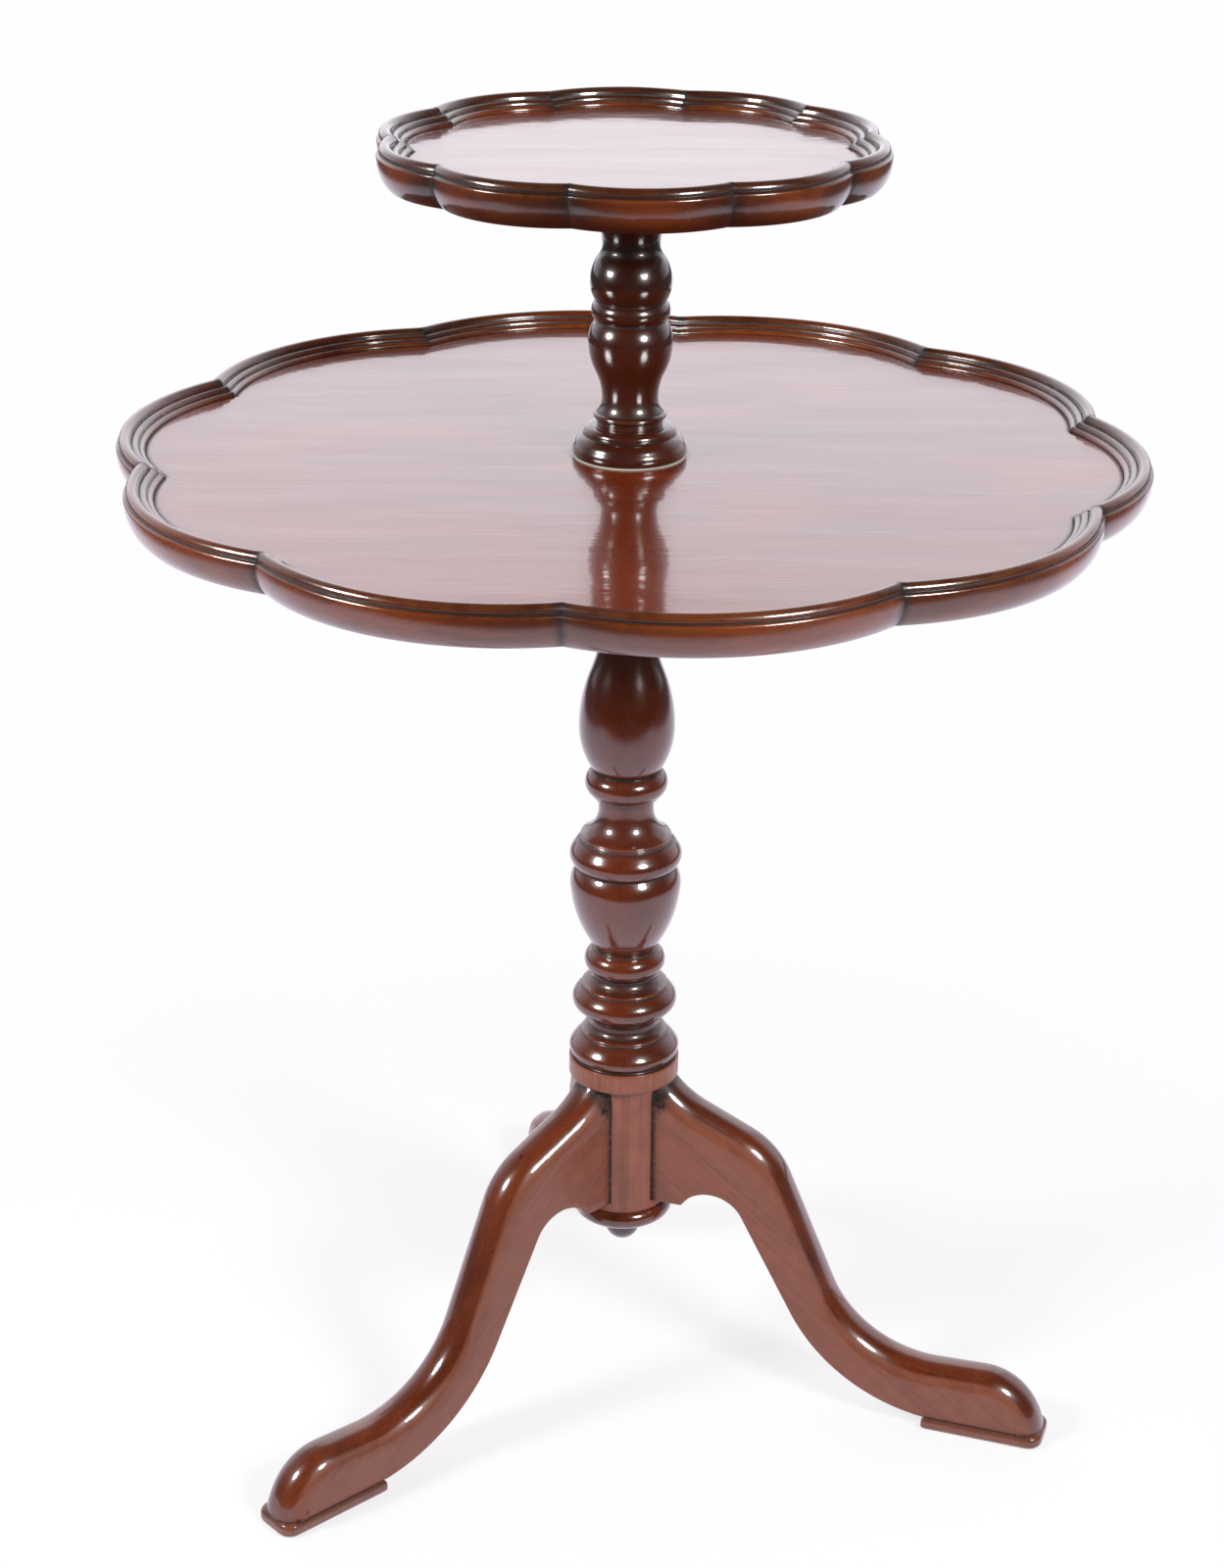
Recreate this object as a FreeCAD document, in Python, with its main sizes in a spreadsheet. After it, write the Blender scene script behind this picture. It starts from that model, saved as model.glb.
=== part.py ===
"""Two-tier tripod side table: revolving pie-crust trays on turned columns, three cabriole legs.

Origin on the floor under the columns' axis, +Z up, the back leg towards +Y. Millimetres, degrees.
"""
import FreeCAD, Part
import math
import os
import re

import Sketcher
from FreeCAD import Placement, Rotation, Vector

document = FreeCAD.newDocument("tiered_side_table")

# Driving dimensions: alias, value, what it is.
DIMENSIONS = [
    # trays
    ("lobes", 10, "lobes round each tray"),
    ("tray_heading", 90.0, "direction from which the turns of the trays are counted"),
    ("lower_cusp", 288.0, "lower tray: radius at which the crests of two lobes meet"),
    ("lower_lobe", 146.6, "lower tray: radius of a lobe's crest line"),
    ("lower_turn", -0.6, "lower tray: turn of a lobe's middle from that direction at rest"),
    ("upper_cusp", 138.1, "upper tray: radius at which the crests of two lobes meet"),
    ("upper_lobe", 72.0, "upper tray: radius of a lobe's crest line"),
    ("upper_turn", -7.6, "upper tray: turn of a lobe's middle from that direction at rest"),
    ("panel_thick", 15.5, "thickness of both tray panels"),
    # moulded rim, measured outwards from the crest line and upwards from the field
    ("rim_foot", 12.2, "inward reach of the rim's foot on the field"),
    ("rim_bead_reach", 8.6, "inward reach of the step between the two inner beads"),
    ("rim_bead_rise", 3.2, "height of that step"),
    ("rim_roll", 4.2, "radius of the roll"),
    ("rim_crest", 9.6, "height of the roll's crest"),
    ("rim_girth", 4.8, "outward reach of the wall's widest line"),
    ("rim_girth_rise", 1.0, "height of the wall's widest line"),
    ("rim_tuck", 7.2, "how far the wall's lower edge lies inside its widest line"),
    ("rabbet", 4.0, "width of the rabbet round the panel that takes the rim's foot"),
    ("rabbet_deep", 3.0, "depth of that rabbet"),
    ("glue_line", 0.1, "thickness of a glue line in a tray"),
    # bearings of the trays
    ("run_gap", 0.05, "radial running clearance of a tray on its pin"),
    ("lower_pin", 11.0, "radius of the lower column's pin"),
    ("spigot_rise", 20.0, "length of that pin inside the upper column"),
    ("upper_pin", 8.0, "radius of the upper column's pin"),
    ("upper_pin_rise", 23.0, "length of the upper column's pin"),
    ("pin_end_gap", 1.0, "free space over the end of a pin"),
    ("washer_thick", 1.5, "thickness of the leather bearing washers"),
    ("washer_margin", 2.0, "how far a washer lies inside the cap that carries it"),
    ("lower_block", 56.0, "radius of the block under the lower tray"),
    ("lower_block_thick", 19.0, "thickness of the block under the lower tray"),
    ("upper_block", 36.0, "radius of the block under the upper tray"),
    ("upper_block_thick", 13.0, "thickness of the block under the upper tray"),
    ("block_bevel", 4.0, "bevel of the blocks' lower edges"),
    ("felt_thick", 0.8, "thickness of the felt ring under the upper column's foot"),
    # turned work shared by the columns
    ("quirk", 1.8, "width of the small steps beside the beads"),
    ("ring", 26.0, "radius of the rings under the lower column's vases"),
    ("ring_half", 9.0, "half the height of such a ring"),
    ("cap_edge", 4.5, "height of a cap's edge"),
    # lower column: each height is counted from the end of the stretch below it
    ("block_base", 130.0, "height of the leg block's underside over the floor"),
    ("block", 29.0, "radius of the leg block"),
    ("block_length", 92.0, "length of the leg block"),
    ("collar", 35.5, "radius of the drum collar"),
    ("collar_height", 13.0, "height of the drum collar"),
    ("base_bead", 35.2, "radius of the bead on the drum collar"),
    ("base_bead_belly", 6.0, "height of that bead's widest line over the collar"),
    ("base_bead_shoulder", 13.0, "height of the bead over its widest line"),
    ("low_neck", 22.4, "radius of the neck over that bead"),
    ("low_neck_height", 9.7, "height of that neck"),
    ("low_bead", 33.5, "radius of the bead over the neck"),
    ("low_bead_half", 11.5, "half the height of that bead"),
    ("low_hollow_height", 7.8, "height of the hollow over that bead"),
    ("vase_foot", 19.4, "radius of the lower vase's foot"),
    ("low_vase_swell", 30.4, "radius of the lower vase half-way up its taper"),
    ("low_vase", 35.0, "radius of the lower vase"),
    ("low_vase_taper", 42.0, "height of the lower vase's taper up to its widest line"),
    ("low_vase_shoulder", 15.0, "height of the lower vase over its widest line"),
    ("mid_bead", 35.4, "radius of the bead on the lower vase"),
    ("mid_bead_height", 19.5, "height of that bead"),
    ("mid_fillet", 28.0, "radius of the fillet over that bead"),
    ("mid_neck", 17.4, "radius of the middle neck"),
    ("mid_hollow_height", 16.2, "height of the hollow that narrows to the middle neck"),
    ("mid_neck_height", 10.0, "height of the middle neck over its hollow"),
    ("high_vase", 29.9, "radius of the upper vase"),
    ("high_vase_belly", 29.0, "height of the upper vase up to its widest line"),
    ("high_taper", 23.1, "radius where the upper vase turns into its neck"),
    ("high_taper_height", 36.0, "height from the widest line up to that turn"),
    ("high_neck", 15.4, "radius of the slender neck"),
    ("high_sweep_height", 41.0, "height of the sweep into the slender neck"),
    ("high_neck_height", 30.4, "height of the straight slender neck"),
    ("astragal", 3.6, "how far the ring over the slender neck stands out"),
    ("lower_cap", 32.0, "radius of the lower column's cap"),
    ("lower_cap_flare", 23.5, "height of the flare under the cap's edge"),
    # upper column: each height is counted from the end of the stretch below it
    ("foot", 34.5, "radius of the upper column's foot"),
    ("foot_rise", 18.2, "height of the upper column's foot"),
    ("foot_bead", 13.4, "height of the bead round the foot"),
    ("slim_seat", 19.8, "radius where the upper column meets its foot"),
    ("flange", 21.9, "radius of the thin flange at its base"),
    ("flange_height", 5.8, "height of the flange's middle over the foot"),
    ("slim_neck", 16.8, "radius of the neck over the flange"),
    ("slim_neck_height", 10.4, "height from the flange's middle to that neck"),
    ("slim_swell", 20.5, "radius where that neck turns into the vase"),
    ("slim_swell_height", 15.8, "height from the neck up to that turn"),
    ("slim_vase", 25.0, "radius of the upper column's vase"),
    ("slim_vase_belly", 18.0, "height from the turn up to the vase's widest line"),
    ("slim_vase_shoulder", 13.0, "height of the vase over its widest line"),
    ("slim_ring", 23.4, "radius of the ring between vase and bulb"),
    ("slim_ring_height", 12.0, "height of that ring"),
    ("slim_bulb", 24.2, "radius of the bulb"),
    ("slim_bulb_belly", 11.5, "height of the bulb up to its widest line"),
    ("slim_waist", 19.0, "radius where the bulb turns into the top neck"),
    ("slim_waist_height", 15.1, "height from the bulb's widest line up to that turn"),
    ("top_neck", 17.0, "radius of the top neck"),
    ("top_neck_height", 5.8, "height from the turn up to the top neck"),
    ("upper_cap", 26.0, "radius of the upper column's cap"),
    ("upper_cap_flare", 20.1, "height of the flare under the cap's edge"),
    # base disc and drop knob
    ("base_disc", 32.7, "radius of the disc under the leg block"),
    ("base_disc_thick", 12.0, "thickness of that disc"),
    ("base_disc_edge", 4.0, "how far its edge is rounded"),
    ("knob", 11.5, "radius of the drop knob"),
    ("knob_neck", 6.0, "radius of the knob's neck"),
    ("knob_centre_drop", 11.5, "drop from the disc to the knob's centre"),
    ("dowel", 5.0, "radius of the dowel that holds knob and disc"),
    ("dowel_rise", 28.0, "length of that dowel in the leg block"),
    ("fit_gap", 0.05, "clearance of a glued joint in the stand"),
    # legs: where they join the block
    ("leg_count", 3, "legs round the block"),
    ("leg_heading", 90.0, "direction of the first leg, the back one, from +X"),
    ("leg_thick", 32.0, "thickness of a leg"),
    ("leg_flat", 1.5, "half the width of the flat left along the top of a leg"),
    ("leg_lift", 6.0, "height of a leg's underside over the block's"),
    ("bracket_run", 16.0, "length of the flat bracket under a leg"),
    ("nick_run", 5.0, "from the bracket to where the arch starts"),
    ("nick_lift", 6.0, "height of that start over the bracket"),
    ("arch_run", 57.0, "from the block to where the arch runs into the back of the shin"),
    ("arch_lift", 4.9, "height there over the block's underside"),
    ("hollow_lift", 7.0, "how far over the collar's underside the hollow over the knee starts"),
    ("brow_run", 27.0, "from the block to where that hollow runs out into the brow of the knee"),
    ("brow_drop", 16.7, "depth there under the collar's underside"),
    ("knee_run", 76.5, "from the block to the knee's corner before rounding"),
    ("knee_drop", 39.4, "depth of that corner under the collar's underside"),
    ("knee_round", 56.0, "rounding of the knee"),
    # legs: shin and foot, counted back from the foot's lower front edge
    ("leg_reach", 290.0, "reach of the foot's lower front edge from the axis"),
    ("nose_back", 10.6, "from that edge back to where the toe runs into the nose"),
    ("nose_rise", 31.5, "height there"),
    ("toe_back", 42.0, "back to where the toe starts to fall"),
    ("toe_rise", 45.5, "height there"),
    ("ankle_back", 124.3, "back to the ankle's corner before rounding"),
    ("ankle_rise", 42.6, "height of that corner"),
    ("ankle_round", 75.0, "rounding of the ankle"),
    ("calf_back", 169.0, "back to where the back of the shin runs into the heel curve"),
    ("calf_rise", 70.0, "height there"),
    ("sole_length", 78.0, "length of a foot over its sole"),
    ("sole_thick", 9.0, "thickness of a sole"),
    ("sole_lip", 1.2, "how far a sole stands proud of the foot"),
    ("sole_round", 9.0, "rounding of a sole's front corners"),
    # dovetails
    ("tail_neck", 12.0, "width of a leg's dovetail at the block's surface"),
    ("tail_root", 18.0, "width of the dovetail at its inner end"),
    ("tail_depth", 13.0, "depth of the dovetail"),
    ("tail_cover", 10.0, "solid wood between the dovetail's top and the collar"),
]

# Places that follow from them: heights from the floor, and reaches from the axis.
PLACES = {
    "disc_base": "block_base - base_disc_thick",
    "collar_base": "block_base + block_length",
    "tail_top": "collar_base - tail_cover",
    "collar_top": "collar_base + collar_height",
    "base_bead_rise": "collar_top + base_bead_belly",
    "base_bead_top": "base_bead_rise + base_bead_shoulder",
    "low_bead_base": "base_bead_top + low_neck_height",
    "low_bead_top": "low_bead_base + 2 * low_bead_half",
    "low_ring_base": "low_bead_top + low_hollow_height",
    "low_ring_top": "low_ring_base + 2 * ring_half",
    "low_vase_rise": "low_ring_top + low_vase_taper",
    "low_vase_top": "low_vase_rise + low_vase_shoulder",
    "mid_bead_top": "low_vase_top + mid_bead_height",
    "mid_neck_base": "mid_bead_top + quirk + mid_hollow_height",
    "high_ring_base": "mid_neck_base + mid_neck_height",
    "high_ring_top": "high_ring_base + 2 * ring_half",
    "high_vase_rise": "high_ring_top + high_vase_belly",
    "high_taper_rise": "high_vase_rise + high_taper_height",
    "high_neck_base": "high_taper_rise + high_sweep_height",
    "high_neck_top": "high_neck_base + high_neck_height",
    "astragal_top": "high_neck_top + 2 * quirk",
    "lower_cap_base": "astragal_top + lower_cap_flare",
    "lower_shoulder": "lower_cap_base + cap_edge",
    "lower_field": "lower_shoulder + washer_thick + lower_block_thick + panel_thick",
    "foot_base": "lower_field + felt_thick",
    "slim_base": "foot_base + foot_rise",
    "spigot_top": "slim_base + spigot_rise",
    "flange_rise": "slim_base + flange_height",
    "slim_neck_rise": "flange_rise + slim_neck_height",
    "slim_swell_rise": "slim_neck_rise + slim_swell_height",
    "slim_vase_rise": "slim_swell_rise + slim_vase_belly",
    "slim_vase_top": "slim_vase_rise + slim_vase_shoulder",
    "slim_ring_top": "slim_vase_top + slim_ring_height",
    "slim_bulb_rise": "slim_ring_top + slim_bulb_belly",
    "slim_waist_rise": "slim_bulb_rise + slim_waist_height",
    "top_neck_rise": "slim_waist_rise + top_neck_height",
    "upper_cap_base": "top_neck_rise + upper_cap_flare",
    "upper_shoulder": "upper_cap_base + cap_edge",
    "upper_field": "upper_shoulder + washer_thick + upper_block_thick + panel_thick",
    "tail_mouth": "sqrt((block + fit_gap) ^ 2 - (tail_neck / 2) ^ 2)",
    "hollow_rise": "collar_base + hollow_lift",
    "brow_reach": "block + brow_run",
    "brow_rise": "collar_base - brow_drop",
    "knee_reach": "block + knee_run",
    "knee_rise": "collar_base - knee_drop",
    "ankle_reach": "leg_reach - ankle_back",
    "toe_reach": "leg_reach - toe_back",
    "nose_reach": "leg_reach - nose_back",
    "heel_reach": "leg_reach - sole_length",
    "calf_reach": "leg_reach - calf_back",
    "arch_reach": "block + arch_run",
    "arch_rise": "block_base + arch_lift",
    "bracket": "block + bracket_run",
    "nick": "bracket + nick_run",
    "leg_low": "block_base + leg_lift",
    "leg_round": "leg_thick / 2 - leg_flat",
}

sheet = document.addObject("Spreadsheet::Sheet", "sizes")
for row, (alias, number, meaning) in enumerate(DIMENSIONS, start=1):
    sheet.set("A%d" % row, alias.replace("_", " "))
    sheet.set("B%d" % row, str(number))
    sheet.set("C%d" % row, meaning)
    sheet.setAlias("B%d" % row, alias)
document.recompute()

ALIASES = {alias for alias, number, meaning in DIMENSIONS}


def formula(text):
    """Write a formula in terms of the sheet: places are spelled out, and aliases refer to cells."""
    def spelled(word):
        if word[0] in PLACES:
            return "(" + formula(PLACES[word[0]]) + ")"
        return "sizes." + word[0] if word[0] in ALIASES else word[0]
    return re.sub(r"[a-z]\w*", spelled, text)


def value(text):
    """Work a formula out with the sheet's present numbers."""
    return float(sheet.evalExpression(formula(text)))


def lobe_centre(tray):
    """The distance of a lobe's centre from the tray's axis, so that two lobes meet at the cusp."""
    return ("({0}_cusp * cos(180 / lobes) - sqrt({0}_lobe ^ 2 - ({0}_cusp * sin(180 / lobes)) ^ 2))"
            .format(tray))


# Sketches ------------------------------------------------------------------------------------

def new_body(label):
    body = document.addObject("PartDesign::Body", label)
    body.Label = label
    return body


def origin_feature(body, role):
    return next(item for item in body.Origin.OriginFeatures if item.Role == role)


def new_sketch(body, name, role):
    sketch = body.newObject("Sketcher::SketchObject", name)
    sketch.AttachmentSupport = [(origin_feature(body, role), "")]
    sketch.MapMode = "FlatFace"
    return sketch


def tie(sketch, geometry, end, x_text, y_text):
    """Tie one point of a sketch to a pair of formulas."""
    for kind, text, axis in (("DistanceX", x_text, -2), ("DistanceY", y_text, -1)):
        number = value(text)
        if abs(number) < 1e-9:
            sketch.addConstraint(Sketcher.Constraint("PointOnObject", geometry, end, axis))
        else:
            index = sketch.addConstraint(Sketcher.Constraint(kind, -1, 1, geometry, end, number))
            sketch.setExpression("Constraints[%d]" % index, formula(text))


def arc_middle(start, heading, end):
    """The middle of the arc that leaves start along heading and ends at end."""
    chord = end - start
    normal = Vector(-heading.y, heading.x, 0)
    radius = chord.dot(chord) / (2 * chord.dot(normal))
    centre = start + normal * radius
    outward = (start - centre) + (end - centre)
    return centre + outward.normalize() * abs(radius)


def heading_after(start, middle, end):
    """The direction in which the arc through three points leaves its end."""
    first = (middle - start).normalize()
    second = (end - middle).normalize()
    turn = math.atan2(first.cross(second).z, first.dot(second))
    chord = (end - start).normalize()
    return Rotation(Vector(0, 0, 1), math.degrees(turn)).multVec(chord)


def mirrored(heading, chord):
    """A direction turned over the line of a chord."""
    along = chord.normalize()
    return along * (2 * heading.dot(along)) - heading


def opening_heading(points, steps, number):
    """The direction in which a straight line or an arc that runs into one leaves its start."""
    chord = points[number + 1] - points[number]
    if steps[number][0] != "into":
        return chord.normalize()
    return mirrored(opening_heading(points, steps, number + 1), chord)


def add_arc(sketch, here, middle, there):
    """Add an arc; give its number and which of its ends are at here and at there."""
    anticlockwise = (middle - here).cross(there - middle).z > 0
    order = (here, middle, there) if anticlockwise else (there, middle, here)
    index = sketch.addGeometry(Part.Arc(*order))
    return (index, 1, 2) if anticlockwise else (index, 2, 1)


def add_line(sketch, here, there):
    return sketch.addGeometry(Part.LineSegment(here, there)), 1, 2


def join(sketch, kind, before, after):
    sketch.addConstraint(Sketcher.Constraint(kind, before[0], before[2], after[0], after[1]))


def tied_point(sketch, x_text, y_text):
    """A construction point that follows a pair of formulas."""
    point = sketch.addGeometry(Part.Point(Vector(value(x_text), value(y_text), 0)), True)
    tie(sketch, point, 1, x_text, y_text)
    return point


def draw(sketch, start, steps):
    """Draw a closed outline from start through steps; each step begins where the last one ended.

    ("to", x, y) is a straight line; ("through", x, y, x, y) an arc through one point to another;
    ("smooth", x, y) an arc that leaves the step before it without a corner; ("upright", x, y) an
    arc that ends parallel to the upright axis; ("into", x, y) an arc that runs without a corner
    into the step after it; ("round", radius, x, y) a straight line to a corner that is rounded
    off, and a straight line follows it. The last step ends at the start.
    """
    points = [Vector(value(start[0]), value(start[1]), 0)]
    points += [Vector(value(step[-2]), value(step[-1]), 0) for step in steps]
    here = points[0]
    heading = None
    first = last = corner = None
    for number, step in enumerate(steps):
        kind = step[0]
        there = points[number + 1]
        if kind in ("to", "round"):
            heading = (there - here).normalize()
        if kind == "to":
            piece = add_line(sketch, here, there)
        elif kind == "round":
            onward = (points[number + 2] - there).normalize()
            cutback = value(step[1]) * math.tan(heading.getAngle(onward) / 2)
            piece = add_line(sketch, here, there - heading * cutback)
        elif kind == "through":
            middle = Vector(value(step[1]), value(step[2]), 0)
            piece = add_arc(sketch, here, middle, there)
            heading = heading_after(here, middle, there)
            sketch.addConstraint(Sketcher.Constraint(
                "PointOnObject", tied_point(sketch, step[1], step[2]), 1, piece[0]))
        else:
            if kind == "smooth":
                middle = arc_middle(here, heading, there)
            elif kind == "upright":
                middle = arc_middle(there, Vector(0, 1, 0), here)
            else:
                middle = arc_middle(here, opening_heading(points, steps, number), there)
            piece = add_arc(sketch, here, middle, there)
            heading = heading_after(here, middle, there)
            if kind == "upright":
                sketch.addConstraint(Sketcher.Constraint("Horizontal", piece[0], 3, *piece[0:3:2]))
        if last:
            is_smooth = kind == "smooth" or steps[number - 1][0] in ("into", "round")
            join(sketch, "Tangent" if is_smooth else "Coincident", last, piece)
        else:
            first = piece
        if corner is not None:
            sketch.addConstraint(Sketcher.Constraint("PointOnObject", corner, 1, piece[0]))
            corner = None
        last = piece
        if kind == "round":
            corner = tied_point(sketch, step[2], step[3])
            sketch.addConstraint(Sketcher.Constraint("PointOnObject", corner, 1, piece[0]))
            before, after = there - heading * cutback, there + onward * cutback
            arc = add_arc(sketch, before, arc_middle(before, heading, after), after)
            size = sketch.addConstraint(Sketcher.Constraint("Radius", arc[0], value(step[1])))
            sketch.setExpression("Constraints[%d]" % size, formula(step[1]))
            join(sketch, "Tangent", piece, arc)
            last, there = arc, after
        elif number < len(steps) - 1:
            tie(sketch, piece[0], piece[2], step[-2], step[-1])
        here = there
    tie(sketch, first[0], first[1], *start)
    join(sketch, "Coincident", last, first)
    return sketch


def circle(sketch, radius, x_text="0", y_text="0"):
    """Draw a circle whose radius and centre follow formulas."""
    index = sketch.addGeometry(Part.Circle(Vector(value(x_text), value(y_text), 0),
                                           Vector(0, 0, 1), value(radius)))
    size = sketch.addConstraint(Sketcher.Constraint("Radius", index, value(radius)))
    sketch.setExpression("Constraints[%d]" % size, formula(radius))
    if value(x_text) == value(y_text) == 0:
        sketch.addConstraint(Sketcher.Constraint("Coincident", index, 3, -1, 1))
    else:
        tie(sketch, index, 3, x_text, y_text)
    return sketch


# Features ------------------------------------------------------------------------------------

def lift(body, height):
    """Raise a body, and everything sketched in it, to a height that follows a formula."""
    body.setExpression("Placement.Base.z", formula(height))
    return body


def turn(angle):
    """The turn about the upright axis by an angle that a formula gives."""
    return Rotation(Vector(0, 0, 1), value(angle))


def turned(label, start, steps):
    """A body turned on a lathe: a half outline in radius and height, revolved about the axis."""
    body = new_body(label)
    sketch = draw(new_sketch(body, label + "_outline", "XZ_Plane"), start, steps)
    revolution = body.newObject("PartDesign::Revolution", label + "_turning")
    revolution.Profile = sketch
    revolution.ReferenceAxis = (sketch, ["V_Axis"])
    revolution.Angle = 360
    sketch.Visibility = False
    return body


def pad(body, sketch, name, length):
    feature = body.newObject("PartDesign::Pad", name)
    feature.Profile = sketch
    feature.setExpression("Length", formula(length))
    return feature


def cut(body, sketch, name, length=None):
    """A pocket that rises from its sketch, or without a length cuts right through both ways."""
    feature = body.newObject("PartDesign::Pocket", name)
    feature.Profile = sketch
    if length is None:
        feature.Type = "ThroughAll"
        feature.SideType = "Symmetric"
    else:
        feature.setExpression("Length", formula(length))
        feature.Reversed = True
    return feature


def around(body, originals, name, count):
    """Repeat features in equal steps round the body's upright axis."""
    pattern = body.newObject("PartDesign::PolarPattern", name)
    pattern.Originals = originals
    pattern.Axis = (origin_feature(body, "Z_Axis"), [""])
    pattern.Angle = 360
    pattern.setExpression("Occurrences", formula(count))
    body.Tip = pattern
    return pattern


# The stand ----------------------------------------------------------------------------------

def lower_column():
    """Leg block, drum collar, beads, two vases, cap and pin, turned in one piece and slotted."""
    base_step = "low_neck + 2 * quirk"
    body = turned("lower_column", ("0", "block_base + dowel_rise"), [
        ("to", "dowel + fit_gap", "block_base + dowel_rise"),
        ("to", "dowel + fit_gap", "block_base"),
        ("to", "block", "block_base"),
        ("to", "block", "collar_base"),
        ("to", "collar", "collar_base"),
        ("to", "collar", "collar_top"),
        ("to", "base_bead - quirk", "collar_top"),
        ("through", "base_bead", "base_bead_rise", "low_neck + 3 * quirk", "base_bead_top"),
        ("to", base_step, "base_bead_top"),
        ("to", "low_neck", "base_bead_top + 2 * quirk"),
        ("to", "low_neck", "low_bead_base"),
        ("to", base_step, "low_bead_base"),
        ("through", "low_bead", "low_bead_base + low_bead_half", base_step, "low_bead_top"),
        ("upright", "vase_foot", "low_ring_base"),
        ("through", "ring", "low_ring_base + ring_half", "vase_foot", "low_ring_top"),
        ("through", "low_vase_swell", "low_ring_top + low_vase_taper / 2", "low_vase", "low_vase_rise"),
        ("smooth", "mid_bead - 2 * quirk", "low_vase_top"),
        ("through", "mid_bead", "low_vase_top + mid_bead_height / 2",
         "mid_bead - 2 * quirk", "mid_bead_top"),
        ("to", "mid_fillet", "mid_bead_top"),
        ("to", "mid_fillet", "mid_bead_top + quirk"),
        ("upright", "mid_neck", "mid_neck_base"),
        ("to", "mid_neck", "high_ring_base"),
        ("to", "mid_neck + 2 * quirk", "high_ring_base"),
        ("through", "ring", "high_ring_base + ring_half", "mid_neck + 2 * quirk", "high_ring_top"),
        ("upright", "high_vase", "high_vase_rise"),
        ("smooth", "high_taper", "high_taper_rise"),
        ("upright", "high_neck", "high_neck_base"),
        ("to", "high_neck", "high_neck_top"),
        ("to", "high_neck + astragal", "high_neck_top"),
        ("to", "high_neck + astragal", "high_neck_top + quirk"),
        ("to", "high_neck", "high_neck_top + quirk"),
        ("to", "high_neck", "astragal_top"),
        ("smooth", "lower_cap - quirk", "lower_cap_base"),
        ("to", "lower_cap", "lower_cap_base"),
        ("to", "lower_cap", "lower_shoulder"),
        ("to", "lower_pin", "lower_shoulder"),
        ("to", "lower_pin", "spigot_top"),
        ("to", "0", "spigot_top"),
        ("to", "0", "block_base + dowel_rise"),
    ])
    slot_plan = new_sketch(body, "slot_plan", "XY_Plane")
    slot_plan.setExpression("AttachmentOffset.Base.z", formula("block_base"))
    slot_outline(slot_plan)
    slot = cut(body, slot_plan, "slot", "tail_top + fit_gap - block_base")
    around(body, [slot], "slots", "leg_count")
    body.Placement.Rotation = turn("leg_heading")
    return body


def tail_half(at, spare):
    """Half the width of the dovetail, widened by spare, at a distance from the column's axis."""
    slope = "((tail_root - tail_neck) / 2 / (tail_mouth - block + tail_depth))"
    return "(tail_neck / 2 + {0} + {1} * (tail_mouth - {2}))".format(spare, slope, at)


def slot_outline(sketch):
    """The plan of a dovetail slot, from its root out through the block's surface."""
    root = "(block - tail_depth - fit_gap)"
    mouth = "(block + quirk)"
    wide = tail_half(root, "fit_gap")
    narrow = tail_half(mouth, "fit_gap")
    return draw(sketch, (root, "-" + wide), [
        ("to", mouth, "-" + narrow),
        ("to", mouth, narrow),
        ("to", root, wide),
        ("to", root, "-" + wide),
    ])


def upper_column():
    """Flange, vase, ring, bulb, cap and pin, turned in one piece and bored for the lower pin."""
    socket_top = "spigot_top + pin_end_gap"
    return turned("upper_column", ("0", socket_top), [
        ("to", "lower_pin + fit_gap", socket_top),
        ("to", "lower_pin + fit_gap", "slim_base"),
        ("to", "slim_seat", "slim_base"),
        ("to", "slim_seat", "flange_rise - quirk"),
        ("through", "flange", "flange_rise", "slim_seat", "flange_rise + quirk"),
        ("upright", "slim_neck", "slim_neck_rise"),
        ("smooth", "slim_swell", "slim_swell_rise"),
        ("upright", "slim_vase", "slim_vase_rise"),
        ("smooth", "slim_ring - quirk", "slim_vase_top"),
        ("through", "slim_ring", "slim_vase_top + slim_ring_height / 2",
         "slim_ring - quirk", "slim_ring_top"),
        ("upright", "slim_bulb", "slim_bulb_rise"),
        ("smooth", "slim_waist", "slim_waist_rise"),
        ("upright", "top_neck", "top_neck_rise"),
        ("smooth", "upper_cap - quirk", "upper_cap_base"),
        ("to", "upper_cap", "upper_cap_base"),
        ("to", "upper_cap", "upper_shoulder"),
        ("to", "upper_pin", "upper_shoulder"),
        ("to", "upper_pin", "upper_shoulder + upper_pin_rise"),
        ("to", "0", "upper_shoulder + upper_pin_rise"),
        ("to", "0", socket_top),
    ])


def upper_column_foot():
    """The turned disc that the upper column stands on; the lower pin passes through it."""
    return turned("upper_column_foot", ("lower_pin + fit_gap", "foot_base"), [
        ("to", "foot - quirk / 2", "foot_base"),
        ("through", "foot", "foot_base + foot_bead / 2", "foot - 2 * quirk", "foot_base + foot_bead"),
        ("to", "slim_seat + 2 * quirk", "foot_base + foot_bead"),
        ("to", "slim_seat + 2 * quirk", "foot_base + foot_bead + quirk"),
        ("to", "slim_seat", "slim_base"),
        ("to", "lower_pin + fit_gap", "slim_base"),
        ("to", "lower_pin + fit_gap", "foot_base"),
    ])


def flat_ring(label, bore, edge, base, thick):
    """A flat ring: felt or leather between two turned pieces."""
    body = lift(new_body(label), base)
    sketch = new_sketch(body, label + "_plan", "XY_Plane")
    circle(sketch, edge)
    circle(sketch, bore)
    pad(body, sketch, label + "_sheet", thick)
    return body


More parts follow.
